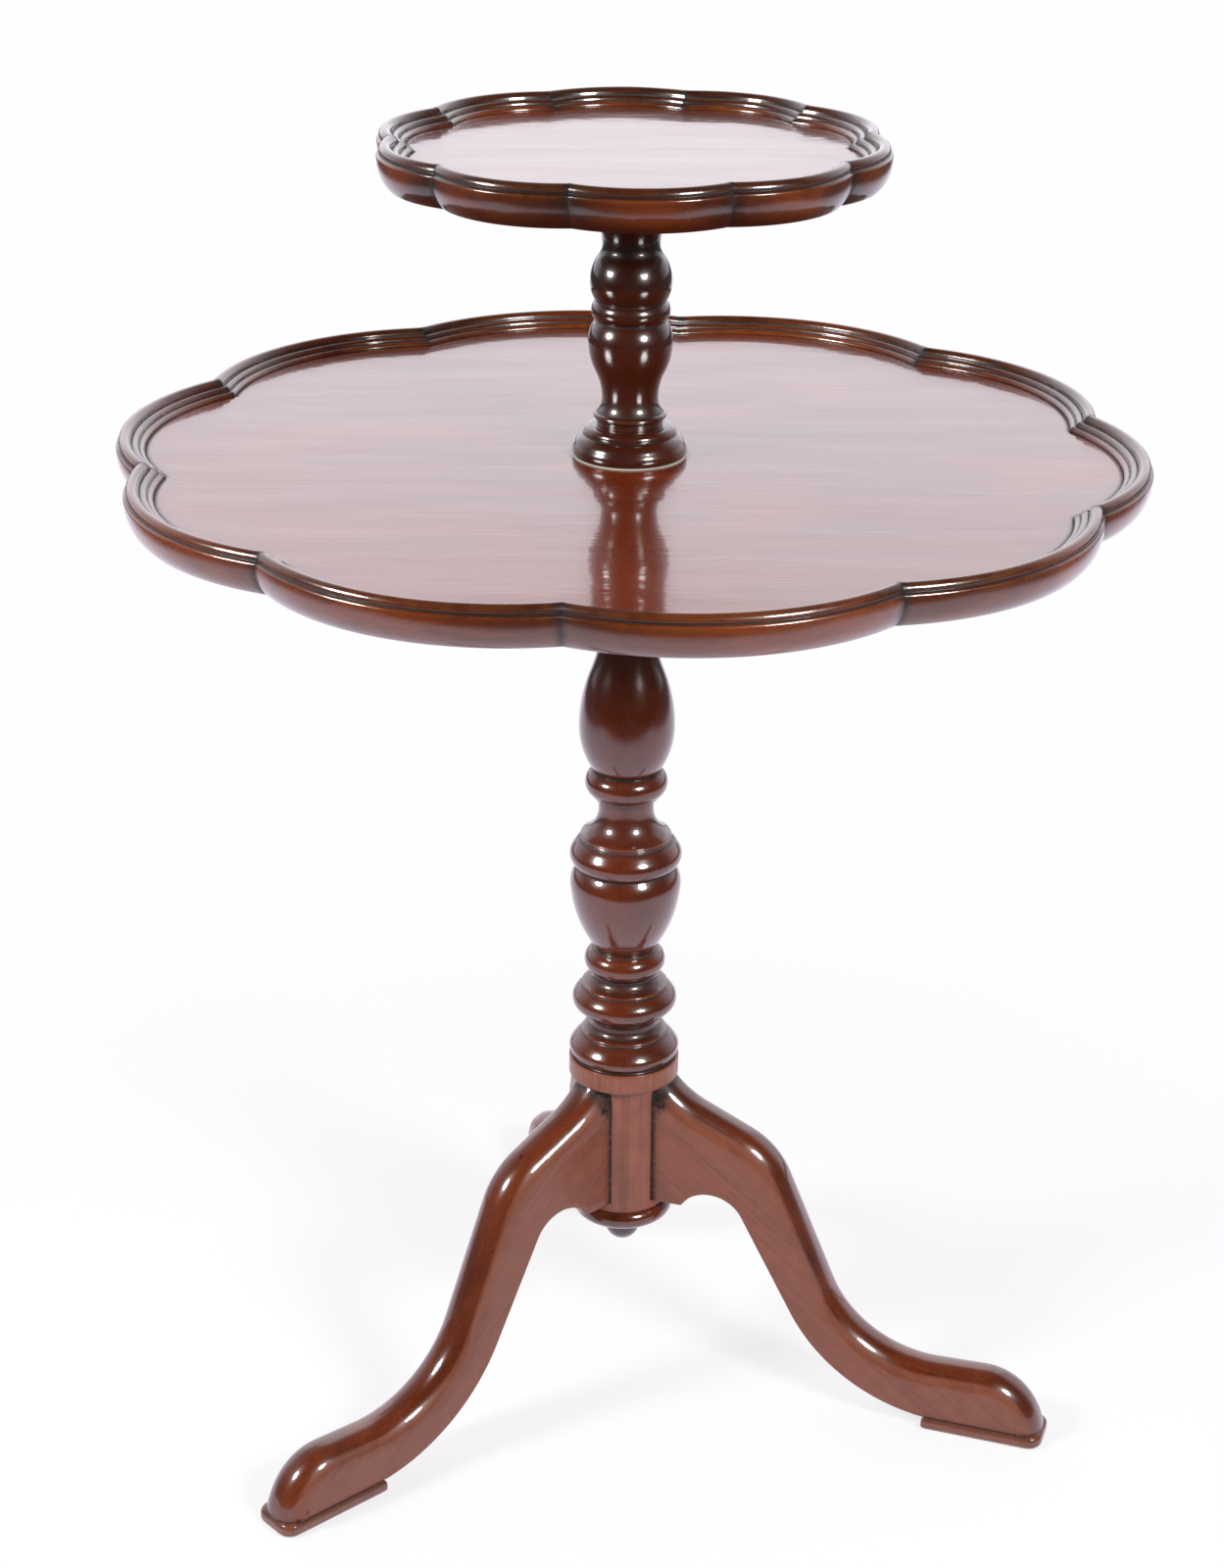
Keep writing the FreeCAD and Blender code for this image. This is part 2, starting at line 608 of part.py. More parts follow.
def base_disc():
    """The disc with a half-round edge that closes the leg block and the dovetail slots."""
    return turned("base_disc", ("dowel + fit_gap", "disc_base"), [
        ("to", "base_disc - base_disc_edge", "disc_base"),
        ("through", "base_disc", "disc_base + base_disc_thick / 2",
         "base_disc - base_disc_edge", "block_base"),
        ("to", "dowel + fit_gap", "block_base"),
        ("to", "dowel + fit_gap", "disc_base"),
    ])


def drop_knob():
    """The turned drop under the disc, with the dowel that holds both to the block."""
    centre = "disc_base - knob_centre_drop"
    dowel_top = "block_base + dowel_rise - fit_gap"
    return turned("drop_knob", ("0", centre + " - knob"), [
        ("through", "knob", centre, "knob_neck", centre + " + sqrt(knob ^ 2 - knob_neck ^ 2)"),
        ("to", "knob_neck", "disc_base"),
        ("to", "dowel", "disc_base"),
        ("to", "dowel", dowel_top),
        ("to", "0", dowel_top),
        ("to", "0", centre + " - knob"),
    ])


def leg(label, heading):
    """A cabriole leg: an outline padded, rounded above, and fitted round the block and the collar."""
    body = new_body(label)
    tail = "block - tail_depth"
    outline = draw(new_sketch(body, label + "_outline", "XZ_Plane"), (tail, "block_base"), [
        ("to", tail, "tail_top"),
        ("to", "block", "tail_top"),
        ("to", "block", "hollow_rise"),
        ("into", "brow_reach", "brow_rise"),
        ("round", "knee_round", "knee_reach", "knee_rise"),
        ("round", "ankle_round", "ankle_reach", "ankle_rise"),
        ("to", "toe_reach", "toe_rise"),
        ("smooth", "nose_reach", "nose_rise"),
        ("smooth", "leg_reach", "sole_thick"),
        ("to", "heel_reach", "sole_thick"),
        ("into", "calf_reach", "calf_rise"),
        ("to", "arch_reach", "arch_rise"),
        ("smooth", "nick", "leg_low + nick_lift"),
        ("to", "bracket", "leg_low"),
        ("to", "block", "leg_low"),
        ("to", "block", "block_base"),
        ("to", tail, "block_base"),
    ])
    board = pad(body, outline, label + "_board", "leg_thick")
    board.SideType = "Symmetric"
    document.recompute()
    rounding = body.newObject("PartDesign::Fillet", label + "_rounding")
    rounding.Base = (board, upper_edges(board.Shape))
    rounding.setExpression("Radius", formula("leg_round"))
    for side in ("", "-"):
        name = label + ("_right_cope" if side else "_left_cope")
        cope = cope_outline(new_sketch(body, name + "_plan", "XY_Plane"), side)
        cut(body, cope, name)
    trim = new_sketch(body, label + "_trim_plan", "XY_Plane")
    trim.setExpression("AttachmentOffset.Base.z", formula("collar_base"))
    circle(trim, "collar + fit_gap")
    cut(body, trim, label + "_trim", "hollow_rise - collar_base + quirk")
    body.Placement.Rotation = turn(heading)
    return body


def upper_edges(shape):
    """The two side edges of a leg's upper surface, from the collar to the front of the foot."""
    names = []
    for number, edge in enumerate(shape.Edges, start=1):
        middle = edge.valueAt((edge.FirstParameter + edge.LastParameter) / 2)
        lengthways = abs(edge.Vertexes[0].Point.y - edge.Vertexes[-1].Point.y) < 1e-6
        beyond_block = middle.x > value("block")
        inner = Vector(middle.x, 0, middle.z)
        step = Vector(0, 0, value("quirk") / 4)
        if lengthways and beyond_block and shape.isInside(inner - step, 1e-6, False) \
                and not shape.isInside(inner + step, 1e-6, False):
            names.append("Edge%d" % number)
    return names


def cope_outline(sketch, side):
    """What a leg loses at one side of its dovetail, so that it fits round the block."""
    inner = "(block - tail_depth - quirk)"
    neck = "(tail_neck / 2)"
    outside = "(leg_thick / 2 + quirk)"
    between = "(tail_neck / 4 + leg_thick / 4)"

    def on_block(half):
        return "sqrt((block + fit_gap) ^ 2 - {0} ^ 2)".format(half)

    return draw(sketch, (inner, side + tail_half(inner, "0")), [
        ("to", on_block(neck), side + neck),
        ("through", on_block(between), side + between, on_block(outside), side + outside),
        ("to", inner, side + outside),
        ("to", inner, side + tail_half(inner, "0")),
    ])


def sole(label, heading):
    """The flat pad under a foot, a little proud of it all round its front."""
    body = new_body(label)
    plan = new_sketch(body, label + "_plan", "XY_Plane")
    half = "(leg_thick / 2 + sole_lip)"
    tip = "(leg_reach + sole_lip)"
    corner = "sole_round * (1 - sqrt(2) / 2)"
    draw(plan, ("heel_reach", "-" + half), [
        ("to", tip + " - sole_round", "-" + half),
        ("through", tip + " - " + corner, "{0} - {1}".format(corner, half), tip, "sole_round - " + half),
        ("to", tip, half + " - sole_round"),
        ("through", tip + " - " + corner, "{0} - {1}".format(half, corner), tip + " - sole_round", half),
        ("to", "heel_reach", half),
        ("to", "heel_reach", "-" + half),
    ])
    pad(body, plan, label + "_pad", "sole_thick")
    body.Placement.Rotation = turn(heading)
    return body


# The trays ----------------------------------------------------------------------------------

def panel(tray, bore, depth=None):
    """A tray's panel: stepped discs, one per lobe, joined by one in the middle and bored for the pin."""
    body = lift(new_body(tray + "_tray_panel"), "{0}_field - panel_thick".format(tray))
    field_radius = "{0}_lobe - rim_foot - glue_line".format(tray)
    lobes = []
    for name, radius, thick in (("_field", field_radius, "panel_thick"),
                                ("_edge", field_radius + " + rabbet", "panel_thick - rabbet_deep")):
        plan = new_sketch(body, tray + name + "_plan", "XY_Plane")
        circle(plan, radius, lobe_centre(tray))
        lobes.append(pad(body, plan, tray + name, thick))
    around(body, lobes, tray + "_lobes", "lobes")
    middle_plan = new_sketch(body, tray + "_middle_plan", "XY_Plane")
    circle(middle_plan, lobe_centre(tray))
    pad(body, middle_plan, tray + "_middle", "panel_thick")
    bore_plan = new_sketch(body, tray + "_bore_plan", "XY_Plane")
    circle(bore_plan, bore)
    cut(body, bore_plan, tray + "_panel_bore", depth)
    body.Placement.Rotation = turn("tray_heading + {0}_turn".format(tray))
    return body


def rim(tray):
    """A tray's moulded rim: a section revolved about a lobe's own axis, mitred, once per lobe."""
    body = lift(new_body(tray + "_tray_rim"), "{0}_field".format(tray))
    body.AllowCompound = True
    centre = lobe_centre(tray)
    crest = "({0} + {1}_lobe)".format(centre, tray)
    section = new_sketch(body, tray + "_rim_section", "XZ_Plane")
    axis, low, high = add_line(section, Vector(value(centre), 0, 0),
                               Vector(value(centre), value("rim_crest"), 0))
    section.setConstruction(axis, True)
    tie(section, axis, low, centre, "0")
    tie(section, axis, high, centre, "rim_crest")
    inner = crest + " - rim_foot + rabbet"
    draw(section, (crest + " + rim_girth - rim_tuck", "-panel_thick"), [
        ("upright", crest + " + rim_girth", "rim_girth_rise"),
        ("to", crest + " + rim_roll", "rim_crest - rim_roll"),
        ("through", crest, "rim_crest", crest + " - rim_roll", "rim_crest - rim_roll"),
        ("upright", crest + " - rim_bead_reach", "rim_bead_rise"),
        ("upright", crest + " - rim_foot", "0"),
        ("to", crest + " - rim_foot", "-rabbet_deep"),
        ("to", inner, "-rabbet_deep"),
        ("to", inner, "-panel_thick"),
        ("to", crest + " + rim_girth - rim_tuck", "-panel_thick"),
    ])
    moulding = body.newObject("PartDesign::Revolution", tray + "_rim_moulding")
    moulding.Profile = section
    moulding.ReferenceAxis = (section, ["Axis0"])
    moulding.Midplane = True
    moulding.setExpression("Angle", formula(
        "2 * acos(({0}_cusp * cos(180 / lobes) - {1}) / {0}_lobe) + 180 deg / lobes".format(tray, centre)))
    start = "(glue_line / 2 / sin(180 / lobes))"
    along = "{0} + 2 * {1}_cusp * cos(180 / lobes)".format(start, tray)
    across = "2 * {0}_cusp * sin(180 / lobes)".format(tray)
    beyond = "2 * {0}_cusp".format(tray)
    mitre_plan = new_sketch(body, tray + "_mitre_plan", "XY_Plane")
    draw(mitre_plan, (start, "0"), [
        ("to", along, across),
        ("to", "-quirk", beyond),
        ("to", "-quirk", "-" + beyond),
        ("to", along, "-" + across),
        ("to", start, "0"),
    ])
    cut(body, mitre_plan, tray + "_mitres")
    document.recompute()
    around(body, [], tray + "_rim_lobes", "lobes").TransformMode = "Whole shape"
    body.Placement.Rotation = turn("tray_heading + {0}_turn".format(tray))
    return body


def tray_block(tray):
    """The round block under a tray that carries it on the column and holds its bore."""
    base = "{0}_field - panel_thick - {0}_block_thick".format(tray)
    top = "{0}_field - panel_thick".format(tray)
    bore = "{0}_pin + run_gap".format(tray)
    edge = "{0}_block".format(tray)
    return turned(tray + "_tray_block", (bore, base), [
        ("to", edge + " - block_bevel", base),
        ("to", edge, base + " + block_bevel"),
        ("to", edge, top),
        ("to", bore, top),
        ("to", bore, base),
    ])


# Assembly -----------------------------------------------------------------------------------

def build():
    """Make every piece, each where it belongs, and list them."""
    pieces = [lower_column(), base_disc(), drop_knob(), upper_column_foot(), upper_column()]
    for number, side in enumerate(("back", "front_left", "front_right")):
        heading = "leg_heading + %d * 360 / leg_count" % number
        pieces.append(leg(side + "_leg", heading))
        pieces.append(sole(side + "_sole", heading))
    pieces += [
        flat_ring("lower_bearing_washer", "lower_pin + quirk", "lower_cap - washer_margin",
                  "lower_shoulder", "washer_thick"),
        flat_ring("foot_felt", "lower_pin + quirk", "foot - quirk / 4", "lower_field", "felt_thick"),
        flat_ring("upper_bearing_washer", "upper_pin + quirk", "upper_cap - washer_margin",
                  "upper_shoulder", "washer_thick"),
    ]
    upper_bore_depth = "upper_shoulder + upper_pin_rise + pin_end_gap - (upper_field - panel_thick)"
    for tray, depth in (("lower", "panel_thick"), ("upper", upper_bore_depth)):
        pieces.append(panel(tray, "{0}_pin + run_gap".format(tray), depth))
        pieces.append(rim(tray))
        pieces.append(tray_block(tray))
    return pieces


def faults(pieces):
    """Whatever failed: objects that didn't recompute and pieces whose solids aren't sound."""
    broken = [item.Label for item in document.Objects
              if "Invalid" in item.State or "Error" in item.State]
    unsound = [piece.Label for piece in pieces if piece.Shape.isNull() or not piece.Shape.isValid()
               or not piece.Shape.Solids]
    return broken + unsound


built = build()
document.recompute()
if faults(built):
    raise RuntimeError("not built: " + ", ".join(faults(built)))
os.makedirs("parts", exist_ok=True)
for piece in built:
    piece.Shape.exportStep("parts/" + piece.Label + ".step")
    box = piece.Shape.BoundBox
    print("%-22s %2d solid(s) %12.1f mm3  z %.1f to %.1f" % (
        piece.Label, len(piece.Shape.Solids), piece.Shape.Volume, box.ZMin, box.ZMax))
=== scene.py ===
import math
from typing import NamedTuple

import bpy
import numpy as np
from mathutils import Matrix, Vector


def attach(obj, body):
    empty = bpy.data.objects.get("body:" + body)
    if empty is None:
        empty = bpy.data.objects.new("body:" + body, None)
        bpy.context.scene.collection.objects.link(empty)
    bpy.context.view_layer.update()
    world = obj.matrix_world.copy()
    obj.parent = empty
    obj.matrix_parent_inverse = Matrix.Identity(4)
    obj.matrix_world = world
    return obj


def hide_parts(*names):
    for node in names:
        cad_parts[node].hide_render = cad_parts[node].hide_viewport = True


bl_info = {
    "name": "Tiered Side Table",
    "version": (1, 0, 0),
    "blender": (4, 5, 0),
    "location": "3D View > Sidebar > Side Table",
    "description": "Dresses a two-tier tripod table with pie-crust trays in polished mahogany",
    "category": "Object",
}

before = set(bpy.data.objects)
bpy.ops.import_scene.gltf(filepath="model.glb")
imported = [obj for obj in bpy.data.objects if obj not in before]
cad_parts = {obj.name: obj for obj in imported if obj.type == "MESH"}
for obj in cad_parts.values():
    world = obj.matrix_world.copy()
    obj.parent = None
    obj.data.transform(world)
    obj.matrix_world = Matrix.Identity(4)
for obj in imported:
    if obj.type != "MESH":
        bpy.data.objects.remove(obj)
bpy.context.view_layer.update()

MM = 0.001
LOBES = 10
LEG_HEADINGS = {"back": 90.0, "front_left": 210.0, "front_right": 330.0}

# Half outlines of the turned work, radius and height in millimetres. A row of two numbers ends a
# straight line, and a row of four names a point on an arc and the arc's end.
TURNINGS = {
    "lower_column": [
        (0, 158), (5.05, 158), (5.05, 130), (29, 130), (29, 222), (35.5, 222), (35.5, 234.6),
        (35, 235), (33, 235), (32.5, 236.2), (35.4, 240.4, 34, 245), (31, 248.6), (27.2, 251.4),
        (26.8, 251.6), (27.6, 252.6, 26.8, 253.6), (22.6, 255.8, 21.4, 259.4), (21.4, 261.6),
        (22.6, 262.4), (22.9, 263.4), (26.3, 267.5, 31, 270), (33.6, 275.4, 32, 280.6),
        (29.4, 283.6), (27.2, 285), (26.9, 285.2), (27.7, 286.1, 26.9, 287),
        (21.9, 288.8, 19.5, 293.6), (20, 295), (25.9, 302.6, 21.6, 310.6), (20.4, 311.2),
        (20.4, 312.3), (19.4, 312.5), (30.02, 332.45, 35, 354.5), (34.35, 363.0, 30.9, 369.5),
        (31.4, 370.2), (35.5, 377.2, 33.8, 382.6), (31.2, 386.4), (29, 388.2), (28.7, 388.4),
        (29.1, 389.2, 28.5, 390), (28.3, 390.2), (28.6, 390.9, 28, 391.6),
        (20.7, 397.6, 17.4, 407), (17.4, 416.6), (21, 417), (21, 418), (26, 426.4, 21, 435),
        (27.62, 448.83, 29.9, 464), (28.19, 482.32, 23.1, 500), (17.34, 520.14, 15.4, 541),
        (15.4, 571.4), (19, 571.4), (19, 573.2), (15.4, 573.2), (15.4, 575),
        (19.41, 588.89, 30.2, 598.5), (32, 598.5), (32, 603), (11, 603), (11, 678), (0, 678)],
    "upper_column": [
        (0, 679), (11.05, 679), (11.05, 658), (19.8, 658), (19.8, 662), (21.9, 663.8, 19.8, 665.6),
        (17.57, 669.65, 16.8, 674.2), (17.74, 682.31, 20.5, 690), (23.86, 698.72, 25, 708),
        (24.14, 714.72, 21.3, 720.4), (20.5, 721.2), (21.6, 722), (23.4, 727, 21.6, 732),
        (20.5, 732.8), (21.4, 733.6), (23.54, 738.8, 24.2, 744.5), (22.86, 752.49, 19, 759.6),
        (17.51, 762.33, 17, 765.4), (18.85, 776.08, 24.2, 785.5), (26, 785.5), (26, 790), (8, 790),
        (8, 813), (0, 813)],
    "upper_column_foot": [
        (11.05, 639.8), (33.4, 639.8), (34.5, 643.2, 33.2, 647.2), (30.8, 650.8, 27.3, 652.6),
        (27.3, 655.4, 25.2, 657.3), (22.4, 658), (11.05, 658), (11.05, 639.8)],
    "base_disc": [
        (5.05, 118), (28.7, 118), (32.7, 124, 28.7, 130), (5.05, 130), (5.05, 118)],
    "drop_knob": [
        (0, 95), (11.07, 103.38, 6, 116.31), (6, 118), (5, 118), (5, 157.95), (0, 157.95)],
    "lower_tray_block": [
        (11.05, 604.5), (52, 604.5), (56, 608.5), (56, 623.5), (11.05, 623.5), (11.05, 604.5)],
    "upper_tray_block": [
        (8.05, 791.5), (32, 791.5), (36, 795.5), (36, 804.5), (8.05, 804.5), (8.05, 791.5)],
    "lower_bearing_washer": [
        (12.8, 603), (30, 603), (30, 604.5), (12.8, 604.5), (12.8, 603)],
    "upper_bearing_washer": [
        (9.8, 790), (24, 790), (24, 791.5), (9.8, 791.5), (9.8, 790)],
    "foot_felt": [
        (12.8, 639), (34.05, 639), (34.05, 639.8), (12.8, 639.8), (12.8, 639)],
}

# A leg seen from its side, reach and height: its upper line from the column to the toe, and its
# underside from the column to the same end. LEG_PAIRS matches reaches on the two.
LEG_TOP = [
    (24, 237), (29, 229), (40.77, 215.18, 56, 205.3), (85.91, 191.58),
    (102.64, 179.8, 114.01, 162.8), (145.43, 89.73), (174.19, 56.01, 216.97, 44.41), (248, 45.5),
    (265.32, 42.13, 279.4, 31.5), (286.15, 20.93, 290, 9)]
LEG_UNDER = [
    (24, 136), (45, 136), (50, 142), (69.67, 146.94, 86, 134.9), (121, 70),
    (158.94, 28.23, 212, 9), (282, 9)]
LEG_PAIRS = np.array([
    (24, 24), (44, 40), (56, 50), (85.91, 68), (102.64, 86), (114.01, 96), (145.43, 121),
    (174.19, 160), (216.97, 212), (248, 240), (265.32, 258), (279.4, 270), (290, 282)])
LEG_THICK = 32.0
LEG_ROUND = 14.5
LEG_EDGE = 1.3
LEG_GRAIN = math.radians(-38.0)
# A leg's thickness wavers by millimetres, over this length. Its dull side begins at this sine of
# the rounding's turn, with a blend.
LEG_WAVER = 0.12
WAVER_LENGTH = 40
SIDE_FROM = 0.76
SIDE_BLEND = 0.04
# Where wax gathers on a leg: beside the leg block, under the collar, and over the sole. The
# collar's line is above the hip, and the sole's is on the foot.
BLOCK_LINE = 30.5
COLLAR_LINE = 35.6
SOLE_LINE = 9.4
HIP_HEIGHT = 205.0
FOOT_REACH = 205.0

SOLE_OUTLINE = [
    (212, -17.2), (282.2, -17.2), (288.56, -14.56, 291.2, -8.2), (291.2, 8.2),
    (288.56, 14.56, 282.2, 17.2), (212, 17.2), (212, -17.2)]
SOLE_EDGE = [(2.4, 0), (0.35, 1.6, 0, 4.4), (0.5, 7.2, 3.2, 9)]

# A rim's section: outward from the crest line, and up from the field.
RIM_SECTION = [
    (-2.4, -15.5), (2.92, -8, 4.8, 1), (4.8, 3.0), (4.3, 3.9, 3.6, 4.4), (2.9, 4.9), (3.45, 5.8),
    (-0.1, 9.6, -4.1, 6.1), (-4.4, 5.0), (-7.08, 5.5, -8.6, 3.2), (-8.9, 2.5),
    (-11.12, 2.2, -12.2, 0), (-12.2, -3), (-8.2, -3), (-8.2, -15.5), (-2.4, -15.5)]


class Tray(NamedTuple):
    """A tray's sizes in millimetres, and the turn of a lobe's middle in degrees."""
    field: float  # height of the field
    centre: float  # distance of the lobes' centres from the axis
    crest: float  # radius of a lobe's crest line
    turn: float
    bore: float
    solid: float  # wood over a blind bore, and nothing over one that goes through
    stands: float  # radius of what stands on the field
    rings: int  # rings of points across the field


TRAYS = {
    "lower": Tray(639.0, 157.409, 146.6, 89.4, 11.05, 0.0, 34.5, 84),
    "upper": Tray(820.0, 73.351, 72.0, 82.4, 8.05, 6.0, 0.0, 56),
}
PANEL_THICK = 15.5
PANEL_POINTS = 480
RABBET = 4.0
RABBET_DEEP = 3.0
FIELD_EDGE = 12.3
TRAY_GRAIN = math.radians(-11.9)

# A field's ripples: how many waves, their shortest and longest length and the length of full
# height in metres, the spread of their lean in radians, and how they die out, over a share of
# the way in from the field's edge and over millimetres round the foot.
RIPPLE_WAVES = 16
RIPPLE_LENGTHS = (0.016, 0.07)
FULL_RIPPLE = 0.05
RIPPLE_LEAN = 0.16
EDGE_FADE = 0.06
FOOT_FADE = 12

# Screw heads: the heights of their rings from the wood, in millimetres, the share of the outline
# on each ring, and the share of the head's width that is its slot.
HALF_HEAD = (0.4, -0.25, -0.4)
HEAD_PLATE = (0.4, -0.05, -0.1)
HEAD_SHARES = np.array([1.0, 1.0, 0.9])[:, None, None]
SLOT_SHARE = 0.12

# Turned work: the step from one piece's grain to the next one's in metres, how dark the painted
# shade towards a tray above grows, and heights over the table for a piece with no painted shade.
GRAIN_STEP = np.array([0.31, 0.17, 0.0])
TURNED_SHADE = 0.75
UNSHADED = (1000, 1001)

# The studio faces the table from a little to the left of its front. The camera's angles are its
# swing to the left, its tilt up from straight down, and its roll, in degrees. Its place, before
# it turns to that side, is in metres from the foot of the table's axis.
FRONT = math.radians(-11.9)
FACING = (-math.sin(FRONT), math.cos(FRONT), 0.0)
BESIDE = (FACING[1], -FACING[0], 0.0)
CAMERA_ANGLES = (0.3, 66.53, 0.42)
CAMERA_PLACE = (0, -1.7196, 1.17066)
FLOOR_REACH = 30.0
LAMP_HEIGHT = 0.5
SOFTBOX_SIZE = 0.48
SOFTBOX_DISTANCE = 1.7
SOFTBOX_RISE = 28
SOFTBOX_AZIMUTHS = {"left softbox": -65, "right softbox": 39}

# Noise patterns: frequency per metre across and along the grain, detail, roughness, distortion.
PATTERNS = {
    "broad figure": (34.0, 3.2, 3.0, 0.55, 0.7),
    "streaks": (420.0, 9.0, 4.0, 0.6, 0.3),
    "clouds": (11.0, 7.0, 2.0, 0.5, 0.4),
    "pores": (2300.0, 95.0, 2.0, 0.5, 0.0),
    "patches": (90.0, 90.0, 4.0, 0.6, 0.0),
    "spots": (260.0, 260.0, 3.0, 0.6, 0.0),
    "faded streaks": (300.0, 8.0, 3.0, 0.6, 0.3),
    "long waves": (62.0, 11.0, 2.0, 0.45, 0.5),
    "short waves": (170.0, 24.0, 2.0, 0.5, 0.8),
    "peel": (520.0, 300.0, 3.0, 0.6, 0.0),
    "smears": (22.0, 6.0, 2.0, 0.5, 0.0),
    "mottle": (120.0, 120.0, 4.0, 0.6, 0.0),
    "creases": (900.0, 900.0, 4.0, 0.7, 0.8),
    "fibres": (2600.0, 2600.0, 4.0, 0.7, 0.8),
    "bloom": (420.0, 420.0, 4.0, 0.6, 0.0),
    "scratches": (2600.0, 300.0, 3.0, 0.6, 0.0),
}
# The dark brown mixed in as painted shade on the columns under the trays and on the rims, and into
# the rims' darker roll.
SHADE_AND_STAIN_BROWN = (0.014, 0.0045, 0.003, 1.0)
PORE_BROWN = (0.008, 0.002, 0.001, 1.0)


# ---- Paths and surfaces ----

def arc_points(start, middle, end, pitch):
    """Points on the circle through three points, from the first to the last, the start left out.

    The circle's centre is where the perpendicular bisectors of the two chords meet.
    """
    a, b, c = (np.array(p, float) for p in (start, middle, end))
    chords = np.array([b - a, c - b])
    centre = np.linalg.solve(2 * chords, [b @ b - a @ a, c @ c - b @ b])
    angles = np.unwrap([math.atan2(*(p - centre)[::-1]) for p in (a, b, c)])
    radius = np.linalg.norm(a - centre)
    count = max(4, int(abs(angles[2] - angles[0]) * radius / pitch))
    turn = np.linspace(angles[0], angles[2], count + 1)[1:]
    return centre + radius * np.stack([np.cos(turn), np.sin(turn)], 1)


def trace(rows, pitch=0.2):
    """Close points along a path of straight lines and arcs, in the units of its rows."""
    parts = [np.array([rows[0]], float)]
    for row in rows[1:]:
        here = parts[-1][-1]
        if len(row) == 4:
            parts.append(arc_points(here, row[:2], row[2:], pitch))
        else:
            count = max(2, int(math.dist(here, row) / pitch))
            share = np.linspace(0, 1, count + 1)[1:, None]
            parts.append(here + share * (np.array(row, float) - here))
    return np.concatenate(parts)


def lengths_along(points):
    """The distance run along a line of points up to each of them."""
    steps = np.linalg.norm(np.diff(points, axis=0), axis=1)
    return np.concatenate([[0], np.cumsum(steps)])


def at_lengths(wanted, run, values):
    """Rows of values, given at the lengths in run, read off at the wanted lengths between."""
    return np.stack([np.interp(wanted, run, column) for column in values.T], 1)


def blurred(points, reach, pitch=0.2, loop=False):
    """A path with each point replaced by the average of its neighbours, weighted by a bell curve.

    This rounds every corner to about the bell's reach and leaves long straights and arcs alone.
    """
    run = lengths_along(points)
    even = np.linspace(0, run[-1], max(8, int(run[-1] / pitch)))
    line = at_lengths(even, run, points)
    half = max(1, int(3 * reach / (even[1] - even[0])))
    bell = np.exp(-0.5 * (np.arange(-half, half + 1) * (even[1] - even[0]) / reach) ** 2)
    bell /= bell.sum()
    if loop:
        before, after = line[-half - 1:-1], line[1:half + 1]
    else:
        before, after = 2 * line[0] - line[half:0:-1], 2 * line[-1] - line[-2:-half - 2:-1]
    wide = np.concatenate([before, line, after])
    return np.stack([np.convolve(column, bell, "valid") for column in wide.T], 1)


def spread(points, count, gather=6.0):
    """Indices of points along a path, closer together where it bends.

    The path is measured by its length plus the gather distance times its turning, and the
    indices are even in that measure.
    """
    steps = np.diff(points, axis=0)
    heading = np.unwrap(np.arctan2(steps[:, 1], steps[:, 0]))
    turning = np.abs(np.gradient(heading))
    measure = np.concatenate([[0], np.cumsum(np.linalg.norm(steps, axis=1) + gather * turning)])
    wanted = np.linspace(0, measure[-1], count)
    return np.unique(np.searchsorted(measure, wanted).clip(0, len(points) - 1))


def outward_normals(points, loop=False):
    """Unit normals on the right-hand side of a path's direction."""
    if loop:
        ahead = np.roll(points, -1, 0) - np.roll(points, 1, 0)
    else:
        ahead = np.gradient(points, axis=0)
    ahead /= np.linalg.norm(ahead, axis=1)[:, None] + 1e-12
    return np.stack([ahead[:, 1], -ahead[:, 0]], 1)


def profile(rows, count, soft, reach=1.6, loop=False):
    """A softened profile, and how far each point lies below or above what is round it.

    The second number is the point's distance from the same path blurred more widely: positive in
    hollows and quirks, negative on arrises and beads.
    """
    sharp = trace(rows)
    fine = blurred(sharp, soft, loop=loop)
    wide = blurred(sharp, reach, loop=loop)
    relief = np.einsum("ij,ij->i", wide - fine, outward_normals(fine))
    chosen = spread(fine, count)
    if loop:
        chosen = chosen[:-1]
    return fine[chosen], relief[chosen]


def wander(along, seed, waves=7, longest=1.0):
    """A smooth irregular line between -1 and 1: a sum of sines of random phase."""
    random = np.random.default_rng(seed)
    total = np.zeros_like(along)
    for wave in range(1, waves + 1):
        phase = random.uniform(0, 2 * np.pi)
        total += np.sin(along * wave / longest + phase) * random.uniform(0.3, 1)
    return total / waves


def rotated(x, y, angle):
    """Points turned about the origin: x cos a less y sin a, and x sin a plus y cos a."""
    return x * np.cos(angle) - y * np.sin(angle), x * np.sin(angle) + y * np.cos(angle)


def dying(distance, start, fade):
    """1 up to the start, and past it the exponential of minus the distance over the fade."""
    return np.exp(-np.maximum(distance - start, 0) / fade)


def handled(relief, hollow, arris):
    """Shares of wax and of wear, full at these depths and heights against what is round them."""
    return np.clip(relief / hollow, 0, 1), np.clip(-relief / arris, 0, 1)


def tray_grain(x, y, z):
    """Coordinates of a tray's board: the third runs along its grain, across the table."""
    along, across = rotated(x, y, -TRAY_GRAIN)
    return np.stack([across, z, along], -1)


def shown(name, mesh, material):
    """An object at the origin that shows a mesh in a material."""
    piece = bpy.data.objects.new(name, mesh)
    bpy.context.scene.collection.objects.link(piece)
    mesh.materials.append(material)
    return piece


